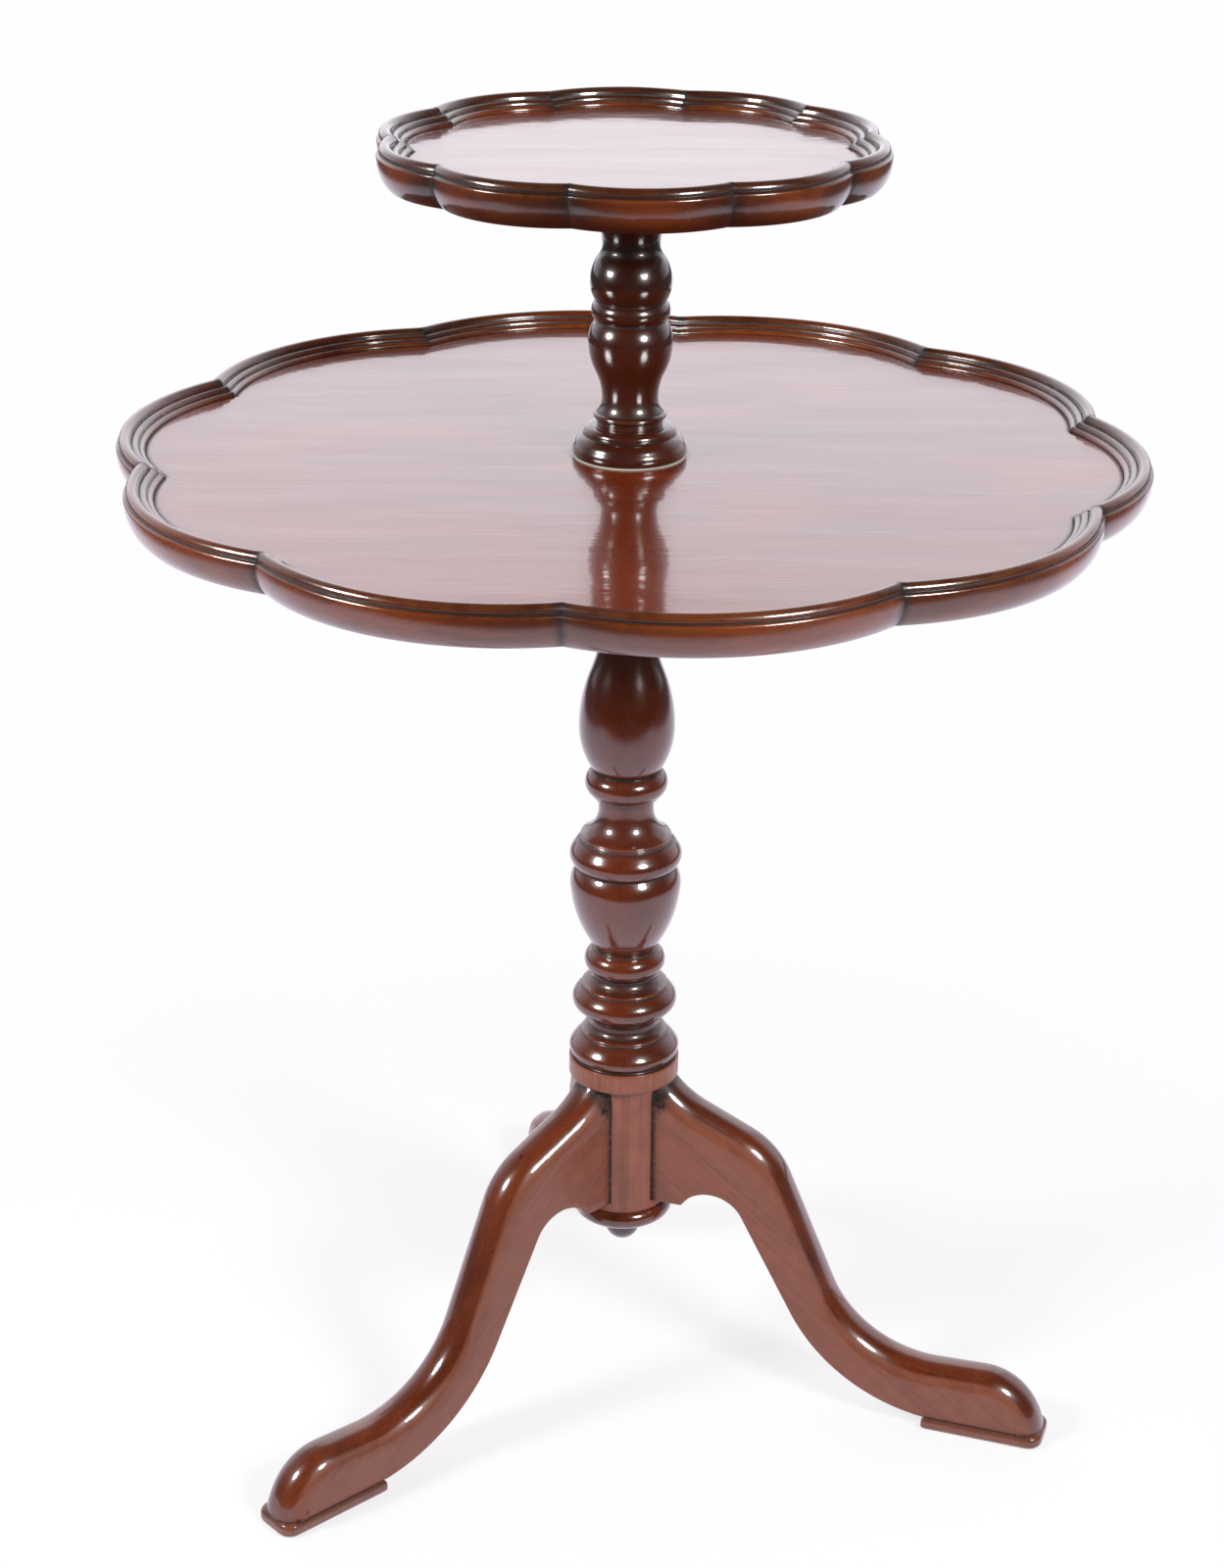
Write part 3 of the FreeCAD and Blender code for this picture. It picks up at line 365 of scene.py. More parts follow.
def surface(name, rings, loop, body, slot, material, sharp_rings=(), **layers):
    """One piece, in place of the node of its name, from rings of points in metres.

    The rings are an array of ring, point on the ring, and x, y, z. Each ring is closed, and
    neighbouring rings are joined by quads. With loop the last ring joins the first one, and
    otherwise both ends are closed with a fan. The layers are point attributes on the same grid.
    Faces are turned to point outwards by the sign of the enclosed volume.
    """
    rows, columns, _ = rings.shape
    points = rings.reshape(-1, 3)
    index = np.arange(rows * columns).reshape(rows, columns)
    nearer = index if loop else index[:-1]
    farther = np.roll(index, -1, 0) if loop else index[1:]
    quads = np.stack([nearer, np.roll(nearer, -1, 1), np.roll(farther, -1, 1), farther], -1)
    quads = quads.reshape(-1, 4)
    fans = np.zeros((0, 3), int)
    if not loop:
        points = np.concatenate([points, rings[[0, -1]].mean(1)])
        first, last, hub = index[0], index[-1], np.full(columns, rows * columns)
        fans = np.concatenate([np.stack([hub, np.roll(first, -1), first], 1),
                               np.stack([hub + 1, last, np.roll(last, -1)], 1)])
    corners = np.concatenate([quads[:, :3], quads[:, [0, 2, 3]], fans])
    a, b, c = points[corners].transpose(1, 0, 2)
    if np.einsum("ij,ij->", a, np.cross(b, c)) < 0:
        quads, fans = quads[:, ::-1], fans[:, ::-1]
    mesh = bpy.data.meshes.new(name)
    mesh.from_pydata(points.tolist(), [], quads.tolist() + fans.tolist())
    mesh.shade_smooth()
    if len(sharp_rings):
        marked = np.zeros(len(points), bool)
        marked[index[list(sharp_rings)]] = True
        ends = np.zeros(len(mesh.edges) * 2, np.int32)
        mesh.edges.foreach_get("vertices", ends)
        ends = ends.reshape(-1, 2)
        along_ring = marked[ends].all(1) & (ends[:, 0] // columns == ends[:, 1] // columns)
        edges = mesh.attributes.new("sharp_edge", "BOOLEAN", "EDGE")
        edges.data.foreach_set("value", along_ring)
    for layer, values in layers.items():
        values = values.reshape(rows, columns, -1)
        flat = values.reshape(rows * columns, -1)
        if not loop:
            flat = np.concatenate([flat, values[[0, -1]].mean(1)])
        kind, field = ("FLOAT_VECTOR", "vector") if flat.shape[1] == 3 else ("FLOAT", "value")
        attribute = mesh.attributes.new(layer, kind, "POINT")
        attribute.data.foreach_set(field, flat.astype(np.float32).ravel())
    piece = shown(name, mesh, material)
    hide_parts(name)
    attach(piece, body)
    return piece


def turned(name, rows, segments, soft, body, slot, material, number=0, dull=(0, 0),
           shaded_heights=UNSHADED):
    """A piece turned on a lathe: each point of its half outline carried round the upright axis.

    x is the radius times the cosine of the turn and y the radius times its sine. The grain runs
    up the axis, and the piece's number shifts it. Between the two heights of dull the polish has
    lost its depth, and from the first to the second height of the shaded span the wood is painted
    darker: painted shade that grows towards the tray above.
    """
    outline = TURNINGS[name]
    loop = outline[0] == outline[-1]
    line, relief = profile(outline, rows, soft, loop=loop)
    if not loop:
        line, relief = line[1:-1], relief[1:-1]
    turn = np.linspace(0, 2 * np.pi, segments, endpoint=False)
    radius, level, relief = (values[:, None] + 0 * turn for values in (*line.T, relief))
    rings = np.stack([
        radius * MM * np.cos(turn), radius * MM * np.sin(turn), level * MM], -1)
    grime, wear = handled(relief, hollow=0.3, arris=0.5)
    # Painted shade: the stain attribute darkens the piece over its shaded span, growing towards
    # the tray above.
    return surface(name, rings, loop, body, slot, material, grain=rings + GRAIN_STEP * number,
                   grime=grime, wear=wear, stain=np.interp(level, shaded_heights, (0, TURNED_SHADE)),
                   dull=1.0 * ((level > dull[0]) & (level < dull[1])))


# ---- Materials ----

class Wiring:
    """A node tree, and short ways to add nodes to it."""

    def __init__(self, tree):
        self.tree = tree

    def fill(self, node, inputs):
        """Link each input to the socket given for it, or set it to the value given."""
        for key, given in inputs.items():
            if isinstance(given, bpy.types.NodeSocket):
                self.tree.links.new(given, node.inputs[key])
            else:
                node.inputs[key].default_value = given

    def add(self, kind, inputs=None, **settings):
        """Add a node: settings are its own properties, and the inputs are filled."""
        node = self.tree.nodes.new(kind)
        for key, setting in settings.items():
            setattr(node, key, setting)
        self.fill(node, inputs or {})
        return node

    def maths(self, operation, first, second=0.0, clamp=False):
        return self.add("ShaderNodeMath", {0: first, 1: second}, operation=operation,
                        use_clamp=clamp).outputs[0]

    def times(self, first, second, clamp=False):
        return self.maths("MULTIPLY", first, second, clamp)

    def plus(self, first, second, clamp=False):
        return self.maths("ADD", first, second, clamp)

    def minus(self, first, second, clamp=False):
        return self.maths("SUBTRACT", first, second, clamp)

    def larger(self, first, second):
        return self.maths("MAXIMUM", first, second)

    def along(self, place, direction):
        """How far a place lies along a direction: their dot product."""
        return self.add("ShaderNodeVectorMath", {0: place, 1: direction},
                        operation="DOT_PRODUCT").outputs["Value"]

    def ramp(self, given, low, high, to_low=0.0, to_high=1.0):
        """Bring a value from one range into another, smoothly and clamped."""
        return self.add("ShaderNodeMapRange", {
            "Value": given, "From Min": low, "From Max": high, "To Min": to_low,
            "To Max": to_high}, interpolation_type="SMOOTHSTEP").outputs[0]

    def mixed(self, share, first, second):
        """The first colour where the share is 0, and the second where it is 1."""
        return self.add("ShaderNodeMix", {0: share, 6: first, 7: second},
                        data_type="RGBA", clamp_factor=True).outputs[2]

    def stretched(self, place, across, along):
        """Scale coordinates so that a pattern is long along the third axis, the grain."""
        return self.add("ShaderNodeVectorMath", {0: place, 1: (across, across, along)},
                        operation="MULTIPLY").outputs[0]

    def noise(self, place, pattern):
        """Noise in one of the named patterns."""
        across, along, detail, rough, warp = PATTERNS[pattern]
        return self.add("ShaderNodeTexNoise", {
            "Vector": self.stretched(place, across, along), "Scale": 1.0, "Detail": detail,
            "Roughness": rough, "Distortion": warp}).outputs[0]

    def bump(self, height, strength, distance):
        return self.add("ShaderNodeBump", {
            "Height": height, "Strength": strength, "Distance": distance}).outputs[0]

    def attribute(self, name, kind="Fac"):
        return self.add("ShaderNodeAttribute", attribute_name=name).outputs[kind]

    def coordinates(self, kind):
        return self.add("ShaderNodeTexCoord").outputs[kind]

    def group(self, name, make, inputs):
        """Place a shared node group, which is made at its first use."""
        tree = bpy.data.node_groups.get(name) or make(name)
        return self.add("ShaderNodeGroup", inputs, node_tree=tree).outputs


def new_group(name, inputs, outputs):
    """An empty node group with named sockets: name to kind, and kind is Color, Float or Vector."""
    tree = bpy.data.node_groups.new(name, "ShaderNodeTree")
    for direction, sockets in (("INPUT", inputs), ("OUTPUT", outputs)):
        for label, kind in sockets.items():
            tree.interface.new_socket(label, in_out=direction, socket_type="NodeSocket" + kind)
    given = tree.nodes.new("NodeGroupInput").outputs
    return Wiring(tree), given, tree.nodes.new("NodeGroupOutput")


def figure_group(name):
    """Mahogany under stain: broad figure, fine streaks, short dark pores and a few specks."""
    wires, given, out = new_group(
        name,
        {"Grain": "Vector", "Ground": "Color", "Shade": "Color", "Glow": "Color",
         "Figure": "Float"},
        {"Colour": "Color", "Pores": "Float"})
    grain, figure = given["Grain"], given["Figure"]
    band = wires.times(wires.ramp(wires.noise(grain, "broad figure"), 0.38, 0.66), figure)
    fine = wires.times(wires.ramp(wires.noise(grain, "streaks"), 0.36, 0.70), figure)
    cloud = wires.ramp(wires.noise(grain, "clouds"), 0.5, 0.74)
    pores = wires.ramp(wires.noise(grain, "pores"), 0.60, 0.70)
    nearest = wires.add("ShaderNodeTexVoronoi", {
        "Vector": wires.stretched(grain, 27.0, 19.0), "Scale": 1.0}).outputs["Distance"]
    specks = wires.ramp(nearest, 0.02, 0.05, 0.8, 0.0)
    colour = wires.mixed(band, given["Ground"], given["Shade"])
    colour = wires.mixed(wires.times(fine, 0.55), colour, given["Shade"])
    colour = wires.mixed(wires.times(cloud, 0.5), colour, given["Glow"])
    colour = wires.mixed(wires.larger(wires.times(pores, 0.55), specks), colour, PORE_BROWN)
    wires.fill(out, {"Colour": colour, "Pores": pores})
    return wires.tree


def age_group(name):
    """Wood painted darker, mostly as shade, wax in hollows, stain rubbed thin on arrises, faded
    flats, all broken up.
    """
    wires, given, out = new_group(
        name,
        {"Colour": "Color", "Place": "Vector", "Grime": "Float", "Wear": "Float",
         "Shade and stain": "Float", "Dull": "Float", "Wax": "Color", "Rubbed": "Color", "Faded": "Color"},
        {"Colour": "Color", "Dirt": "Float"})
    patches, spots, streaks = (wires.noise(given["Place"], pattern)
                               for pattern in ("patches", "spots", "faded streaks"))
    worn = wires.times(given["Wear"], wires.ramp(patches, 0.36, 0.62))
    dirt = wires.times(given["Grime"], wires.ramp(spots, 0.22, 0.58, 0.5, 1.0), clamp=True)
    faded = wires.times(given["Dull"], wires.ramp(patches, 0.2, 0.75, 0.6, 0.95))
    faded = wires.times(faded, wires.ramp(streaks, 0.4, 0.7, 1.0, 0.62))
    # The stain input is mostly painted shade: it darkens the wood towards a dark brown, broken up
    # by patches.
    shade_and_stain_share = wires.times(given["Shade and stain"], wires.ramp(patches, 0.25, 0.7, 0.65, 1.0), clamp=True)
    colour = given["Colour"]
    for share, coat in ((shade_and_stain_share, SHADE_AND_STAIN_BROWN), (faded, given["Faded"]), (worn, given["Rubbed"]),
                        (dirt, given["Wax"])):
        colour = wires.mixed(share, colour, coat)
    wires.fill(out, {"Colour": colour, "Dirt": dirt})
    return wires.tree


def polish_group(name):
    """The surface of shellac polish: roughness, a coat mask and a height for bump.

    The height adds waves along the grain, the fine peel of brushed shellac and open pores.
    """
    wires, given, out = new_group(
        name,
        {"Grain": "Vector", "Pores": "Float", "Dirt": "Float", "Ripple": "Float",
         "Peel": "Float", "Gloss": "Float", "Dull": "Float"},
        {"Roughness": "Float", "Coat": "Float", "Height": "Float"})
    long_waves, short_waves, peel, smears = (
        wires.noise(given["Grain"], pattern)
        for pattern in ("long waves", "short waves", "peel", "smears"))
    waves = wires.plus(long_waves, wires.times(wires.ramp(short_waves, 0.48, 0.72), 0.9))
    height = wires.plus(wires.times(waves, given["Ripple"]), wires.times(peel, given["Peel"]))
    height = wires.minus(height, wires.times(given["Pores"], 0.003))
    rough = wires.plus(wires.ramp(smears, 0.3, 0.75, 0.0, 0.07), given["Gloss"])
    rough = wires.plus(rough, wires.times(given["Dull"], 0.22))
    rough = wires.plus(rough, wires.times(given["Dirt"], 0.30), clamp=True)
    coat = wires.minus(1.0, wires.times(given["Dull"], 0.55), clamp=True)
    coat = wires.minus(coat, wires.times(given["Dirt"], 0.6), clamp=True)
    wires.fill(out, {"Roughness": rough, "Coat": coat, "Height": height})
    return wires.tree


def tinted(colour, tone=(1, 1, 1)):
    """A colour of the finish in a wood's own tone, channel by channel, as four numbers."""
    return (*[channel * share for channel, share in zip(colour, tone)], 1.0)


def made_once(make):
    """Look a material up by its name before it is made."""
    def find(name, *values, **settings):
        return bpy.data.materials.get(name) or make(name, *values, **settings)
    return find


def new_material(name):
    """A new material, its wiring and its Principled shader."""
    material = bpy.data.materials.new(name)
    material.use_nodes = True
    tree = material.node_tree
    return material, Wiring(tree), tree.nodes["Principled BSDF"]


@made_once
def mahogany(name, tone, figure, ripple=0.0, peel=0.5, gloss=0.22, flat=1.0, coated=True):
    """Polished mahogany in one of the tones of this table; flat scales its faded places."""
    look = bpy.context.scene.table_finish
    material, wires, shader = new_material(name)
    grain = wires.attribute("grain", "Vector")
    # The stain attribute carries painted shade: on the columns under the trays, and on the rims
    # with their darker roll.
    grime, wear, dull, stain = map(wires.attribute, ("grime", "wear", "dull", "stain"))
    figured = wires.group("mahogany figure", figure_group, {
        "Grain": grain, "Ground": tinted(look.ground, tone), "Shade": tinted(look.shade, tone),
        "Glow": tinted(look.glow, tone), "Figure": figure})
    aged = wires.group("age and handling", age_group, {
        "Colour": figured["Colour"], "Place": grain, "Dull": dull, "Shade and stain": stain,
        "Grime": wires.times(grime, look.wax_amount),
        "Wear": wires.times(wear, look.rub_amount), "Wax": tinted(look.wax),
        "Rubbed": tinted(look.rubbed, tone), "Faded": tinted(look.faded, (flat, flat, flat))})
    polish = wires.group("shellac polish", polish_group, {
        "Grain": grain, "Pores": figured["Pores"], "Dirt": aged["Dirt"], "Dull": dull,
        "Ripple": ripple, "Peel": peel * 0.06, "Gloss": gloss})
    bump = wires.bump(polish["Height"], 1.0, look.bump_depth)
    wires.fill(shader, {"Base Color": aged["Colour"], "Roughness": polish["Roughness"],
                        "Normal": bump, "IOR": 1.5})
    if coated:
        wires.fill(shader, {"Coat Weight": polish["Coat"], "Coat Normal": bump,
                            "Coat Roughness": look.coat_roughness, "Coat IOR": 1.55})
    return material


@made_once
def soft_sheet(name, colour, dark, relief, sheen):
    """Felt or leather: a mottled colour with fine fibres or creases in its height."""
    material, wires, shader = new_material(name)
    place = wires.coordinates("Object")
    mottle = wires.ramp(wires.noise(place, "mottle"), 0.35, 0.7)
    wires.fill(shader, {
        "Base Color": wires.mixed(mottle, tinted(colour), tinted(dark)), "Roughness": 0.85,
        "Normal": wires.bump(wires.noise(place, relief), 0.6, 0.0004), "Sheen Weight": sheen})
    return material


@made_once
def old_iron(name):
    """Blackened iron of hand-filed screws: brown bloom over grey metal, finely scratched."""
    material, wires, shader = new_material(name)
    place = wires.coordinates("Object")
    bloom = wires.ramp(wires.noise(place, "bloom"), 0.4, 0.65)
    wires.fill(shader, {
        "Base Color": wires.mixed(bloom, (0.16, 0.15, 0.14, 1.0), (0.055, 0.03, 0.018, 1.0)),
        "Roughness": wires.ramp(bloom, 0.0, 1.0, 0.35, 0.7), "Metallic": 0.85,
        "Normal": wires.bump(wires.noise(place, "scratches"), 0.4, 0.0002)})
    return material


# ---- Properties ----

def colour_property(label, text, default):
    return bpy.props.FloatVectorProperty(
        name=label, description=text, default=default, size=3, min=0.0, max=1.0, subtype="COLOR")


def share_property(label, text, default):
    return bpy.props.FloatProperty(
        name=label, description=text, default=default, min=0.0, max=1.0, subtype="FACTOR")


class TableFinish(bpy.types.PropertyGroup):
    """The colours and the polish of the wood."""
    ground: colour_property("Ground", "Stained wood between the figure", (0.150, 0.028, 0.0065))
    shade: colour_property(
        "Shade", "Dark bands and streaks of the figure", (0.055, 0.0095, 0.003))
    glow: colour_property("Glow", "Lighter, more orange clouds in the wood", (0.240, 0.050, 0.011))
    wax: colour_property("Wax", "Old wax and dirt in hollows", (0.010, 0.005, 0.004))
    rubbed: colour_property(
        "Rubbed", "Arrises where the stain has worn thin", (0.240, 0.072, 0.026))
    faded: colour_property("Faded", "Flat sides where polish has gone dull", (0.222, 0.060, 0.027))
    wax_amount: share_property("Wax amount", "How strongly hollows are darkened", 1.0)
    rub_amount: share_property("Rub amount", "How strongly arrises are worn", 0.55)
    coat_roughness: share_property("Coat roughness", "Roughness of the polish's surface", 0.045)
    bump_depth: bpy.props.FloatProperty(
        name="Bump depth", description="Depth of the surface relief at full strength",
        default=0.0008, min=0.0, max=0.01, unit="LENGTH")


class TableShape(bpy.types.PropertyGroup):
    """How closely the surfaces are worked, and how far they stray from exact."""
    softness: bpy.props.FloatProperty(
        name="Softness", description="Reach of the rounding of every arris, in millimetres",
        default=0.24, min=0.05, max=2.0)
    turned_segments: bpy.props.IntProperty(
        name="Turned segments", description="Points round a turned piece", default=144, min=32,
        max=360)
    lobe_steps: bpy.props.IntProperty(
        name="Lobe steps", description="Steps along each lobe of a rim", default=40, min=8,
        max=120)
    carving: bpy.props.FloatProperty(
        name="Carving", description="How far the rims stray inwards from their exact shape",
        default=0.00025, min=0.0, max=0.002, unit="LENGTH")
    ripple: bpy.props.FloatProperty(
        name="Ripple", description="Height of the ripples in the tray fields", default=0.00005,
        min=0.0, max=0.001, unit="LENGTH")


class TableStudio(bpy.types.PropertyGroup):
    """Lamps, floor and camera."""
    softbox_power: bpy.props.FloatProperty(
        name="Softbox power", description="Power of each front lamp", default=24.0, min=0.0,
        unit="POWER")
    back_power: bpy.props.FloatProperty(
        name="Back power", description="Power of the wide panel behind the table", default=6.5,
        min=0.0, unit="POWER")
    surround: bpy.props.FloatProperty(
        name="Surround", description="Level of the plain light from all sides", default=0.8,
        min=0.0)
    floor_glow: share_property(
        "Floor glow", "Share of plain white in the floor near the table", 0.75)
    floor: colour_property("Floor", "Colour of the floor", (0.90, 0.89, 0.91))
    lens: bpy.props.FloatProperty(
        name="Lens", description="Focal length on a long side of 36 mm", default=68.83, min=10.0,
        unit="CAMERA")


# ---- The pieces ----

class TABLE_OT_turned_work(bpy.types.Operator):
    """Make both columns, the upper column's foot, the disc and the drop knob"""
    bl_idname = "table.turned_work"
    bl_label = "Turned work"

    def execute(self, context):
        shape = context.scene.table_shape
        wood = mahogany("turned mahogany", tone=(0.72, 0.61, 0.46), figure=0.5, flat=1.3)
        # A darker copy of the turned wood for the upper column, its foot and the drop knob; on the
        # upper column it is partly painted shade, for the shade under the upper tray.
        dark = mahogany("dark turned mahogany", tone=(0.34, 0.34, 0.5), figure=0.5)
        # The spans paint shade on the columns: darker towards the lower tray and towards the upper
        # tray.
        for number, (name, rows, finish, share, heights) in enumerate((
                ("lower_column", 430, wood, 1, {"dull": (130, 235), "shaded_heights": (470, 530)}),
                ("upper_column", 270, dark, 1, {"shaded_heights": (690, 770)}),
                ("upper_column_foot", 90, dark, 1, {}),
                ("base_disc", 60, wood, 1, {}),
                ("drop_knob", 90, dark, 2, {}))):
            turned(name, rows, shape.turned_segments // share, shape.softness, "stand",
                   "turned_mahogany", finish, number, **heights)
        return {"FINISHED"}


def leg_surface(side, soft, material):
    """A cabriole leg: its upper line and its underside joined through rounded sections.

    At each station the section starts at the middle of the top, runs out to the arris, follows a
    quarter circle measured inwards from the upper line, goes straight down the flat side, turns
    the small arris below and runs back along the underside; the other half mirrors it.
    """
    top, under = blurred(trace(LEG_TOP), soft), blurred(trace(LEG_UNDER), soft)
    top_run, under_run = lengths_along(top), lengths_along(under)

    def knots(line, run, reaches):
        """The lengths along a line at which it has these reaches, the last one at its end."""
        found = run[np.argmin(np.abs(line[:, 0] - reaches[:, None]), 1)]
        found[-1] = run[-1]
        return found

    top_knots = knots(top, top_run, LEG_PAIRS[:, 0])
    under_knots = knots(under, under_run, LEG_PAIRS[:, 1])
    opposite = np.interp(under_run[spread(under, 60, gather=30.0)], under_knots, top_knots)
    stations = np.concatenate([top_run[spread(top, 300, gather=18.0)], opposite])
    stations = np.unique(np.round(stations, 3))
    partners = np.interp(stations, top_knots, under_knots)

    def taken(line, run, wanted):
        """Places on a line and its normals there."""
        return (at_lengths(wanted, run, values)[:, None] for values in (
            line, outward_normals(line)))

    upper, upper_in = taken(top, top_run, stations)
    lower, lower_out = taken(under, under_run, partners)
    half = LEG_THICK / 2
    turn = np.linspace(0, np.pi / 2, 13)
    low_turn = np.linspace(0, np.pi / 2, 5)
    flat = np.array([0, 0.5]) * (half - LEG_ROUND)
    share = np.linspace(0, 1, 12)[1:-1]
    out_top = np.concatenate([flat, half - LEG_ROUND + LEG_ROUND * np.sin(turn)])
    in_top = np.concatenate([0 * flat, LEG_ROUND * (1 - np.cos(turn))])
    out_low = np.concatenate([
        half - LEG_EDGE + LEG_EDGE * np.cos(low_turn), (half - LEG_EDGE) * np.array([0.66, 0.33])])
    in_low = np.concatenate([LEG_EDGE * (1 - np.sin(low_turn)), [0, 0]])
    upper_part = upper + upper_in * in_top[:, None]
    lower_part = lower - lower_out * in_low[:, None]
    down = share[:, None]
    between = upper_part[:, -1:] * (1 - down) + lower_part[:, :1] * down
    plane = np.concatenate([upper_part, between, lower_part], 1)
    plane = np.concatenate([plane, lower, plane[:, :0:-1]], 1)

    def mirrored(parts, middle, sign=1):
        """A value round the section, from its parts on one half and its middle below."""
        values = np.concatenate(parts)
        return np.concatenate([values, [middle], sign * values[:0:-1]])

    out = mirrored([out_top, np.full(len(share), half), out_low], 0, -1)
    arris = mirrored([
        0 * flat, np.sin(2 * turn) * 0.1, 0 * share, np.sin(2 * low_turn), [0, 0]], 0)
    rounded = np.clip((np.sin(turn) - SIDE_FROM) / SIDE_BLEND, 0, 1)
    dull = mirrored([0 * flat, rounded, 1 + 0 * share, 1 + 0 * low_turn, [1, 1]], 1)

    reach, height = plane[..., 0], plane[..., 1]
    waver = LEG_WAVER * wander(stations / WAVER_LENGTH, seed=5 + len(side))[:, None]
    waver = waver * (np.abs(out) / half)
    across = out - np.sign(out) * np.abs(waver)
    x, y = rotated(reach, across, math.radians(LEG_HEADINGS[side]))
    along, upward = rotated(reach, height, -LEG_GRAIN)
    from_axis = np.hypot(reach, across)
    joint = dying(from_axis, BLOCK_LINE, fade=1.6)
    seat = dying(height, SOLE_LINE, fade=0.9) * (reach > FOOT_REACH)
    collar = dying(from_axis, COLLAR_LINE, fade=1.8) * (height > HIP_HEIGHT)
    grime = np.clip(joint + 0.8 * seat + collar, 0, 1)
    return surface(side + "_leg", np.stack([x, y, height], -1) * MM, False, "stand",
                   "leg_mahogany", material,
                   grain=np.stack([upward, across + 70 * len(side), along], -1) * MM,
                   grime=grime, wear=arris * (1 - grime), dull=dull + 0 * reach)


class TABLE_OT_legs(bpy.types.Operator):
    """Make the three cabriole legs"""
    bl_idname = "table.legs"
    bl_label = "Legs"

    def execute(self, context):
        wood = mahogany("leg mahogany", tone=(0.95, 0.88, 0.62), figure=0.7, peel=0.45,
                        gloss=0.24)
        for side in LEG_HEADINGS:
            leg_surface(side, context.scene.table_shape.softness, wood)
        return {"FINISHED"}


def sole_surface(side, soft, material):
    """A sole: its plan set in by an edge profile, with both faces drawn together to the middle."""
    line = blurred(trace(SOLE_OUTLINE), 7 * soft, loop=True)[:-1]
    chosen = spread(np.concatenate([line, line[:1]]), 120, gather=10.0)[:-1]
    line, normal = line[chosen], outward_normals(line, loop=True)[chosen]
    inset, height = trace(SOLE_EDGE, 0.4).T
    walls = line - normal * inset[:, None, None]
    middle = line.mean(0)
    shares = np.array([0.06, 0.35, 0.7, 0.93])[:, None, None]
    under = middle + (walls[0] - middle) * shares
    over = middle + (walls[-1] - middle) * shares[::-1]
    reach, across = np.moveaxis(np.concatenate([under, walls, over]), -1, 0)

    def rings_of(values, low, high):
        """A value on every ring, from its values on the wall and on the two faces."""
        faces = np.ones(len(shares))
        return np.concatenate([low * faces, values, high * faces])[:, None] + 0 * reach

    level = rings_of(height, 0, height[-1])
    edge_wear = rings_of(np.sin(np.linspace(0, np.pi, len(height))), 0, 0)
    x, y = rotated(reach, across, math.radians(LEG_HEADINGS[side]))
    inside = np.maximum(np.abs(across) - LEG_THICK / 2, reach - LEG_TOP[-1][2])
    grime = np.clip(1.1 - np.abs(inside) / 0.8, 0, 1) * (level > 7)
    return surface(side + "_sole", np.stack([x, y, level], -1) * MM, False, "stand",
                   "sole_mahogany", material,
                   grain=np.stack([across, level + 90 * len(side), reach], -1) * MM,
                   grime=grime * 0.8, wear=edge_wear * (1 - grime), dull=0.5 + 0 * level)


class TABLE_OT_soles(bpy.types.Operator):
    """Make the sole under each foot"""
    bl_idname = "table.soles"
    bl_label = "Soles"

    def execute(self, context):
        wood = mahogany("sole mahogany", tone=(0.8, 0.8, 0.8), figure=0.4, gloss=0.26, flat=1.2)
        for side in LEG_HEADINGS:
            sole_surface(side, context.scene.table_shape.softness, wood)
        return {"FINISHED"}


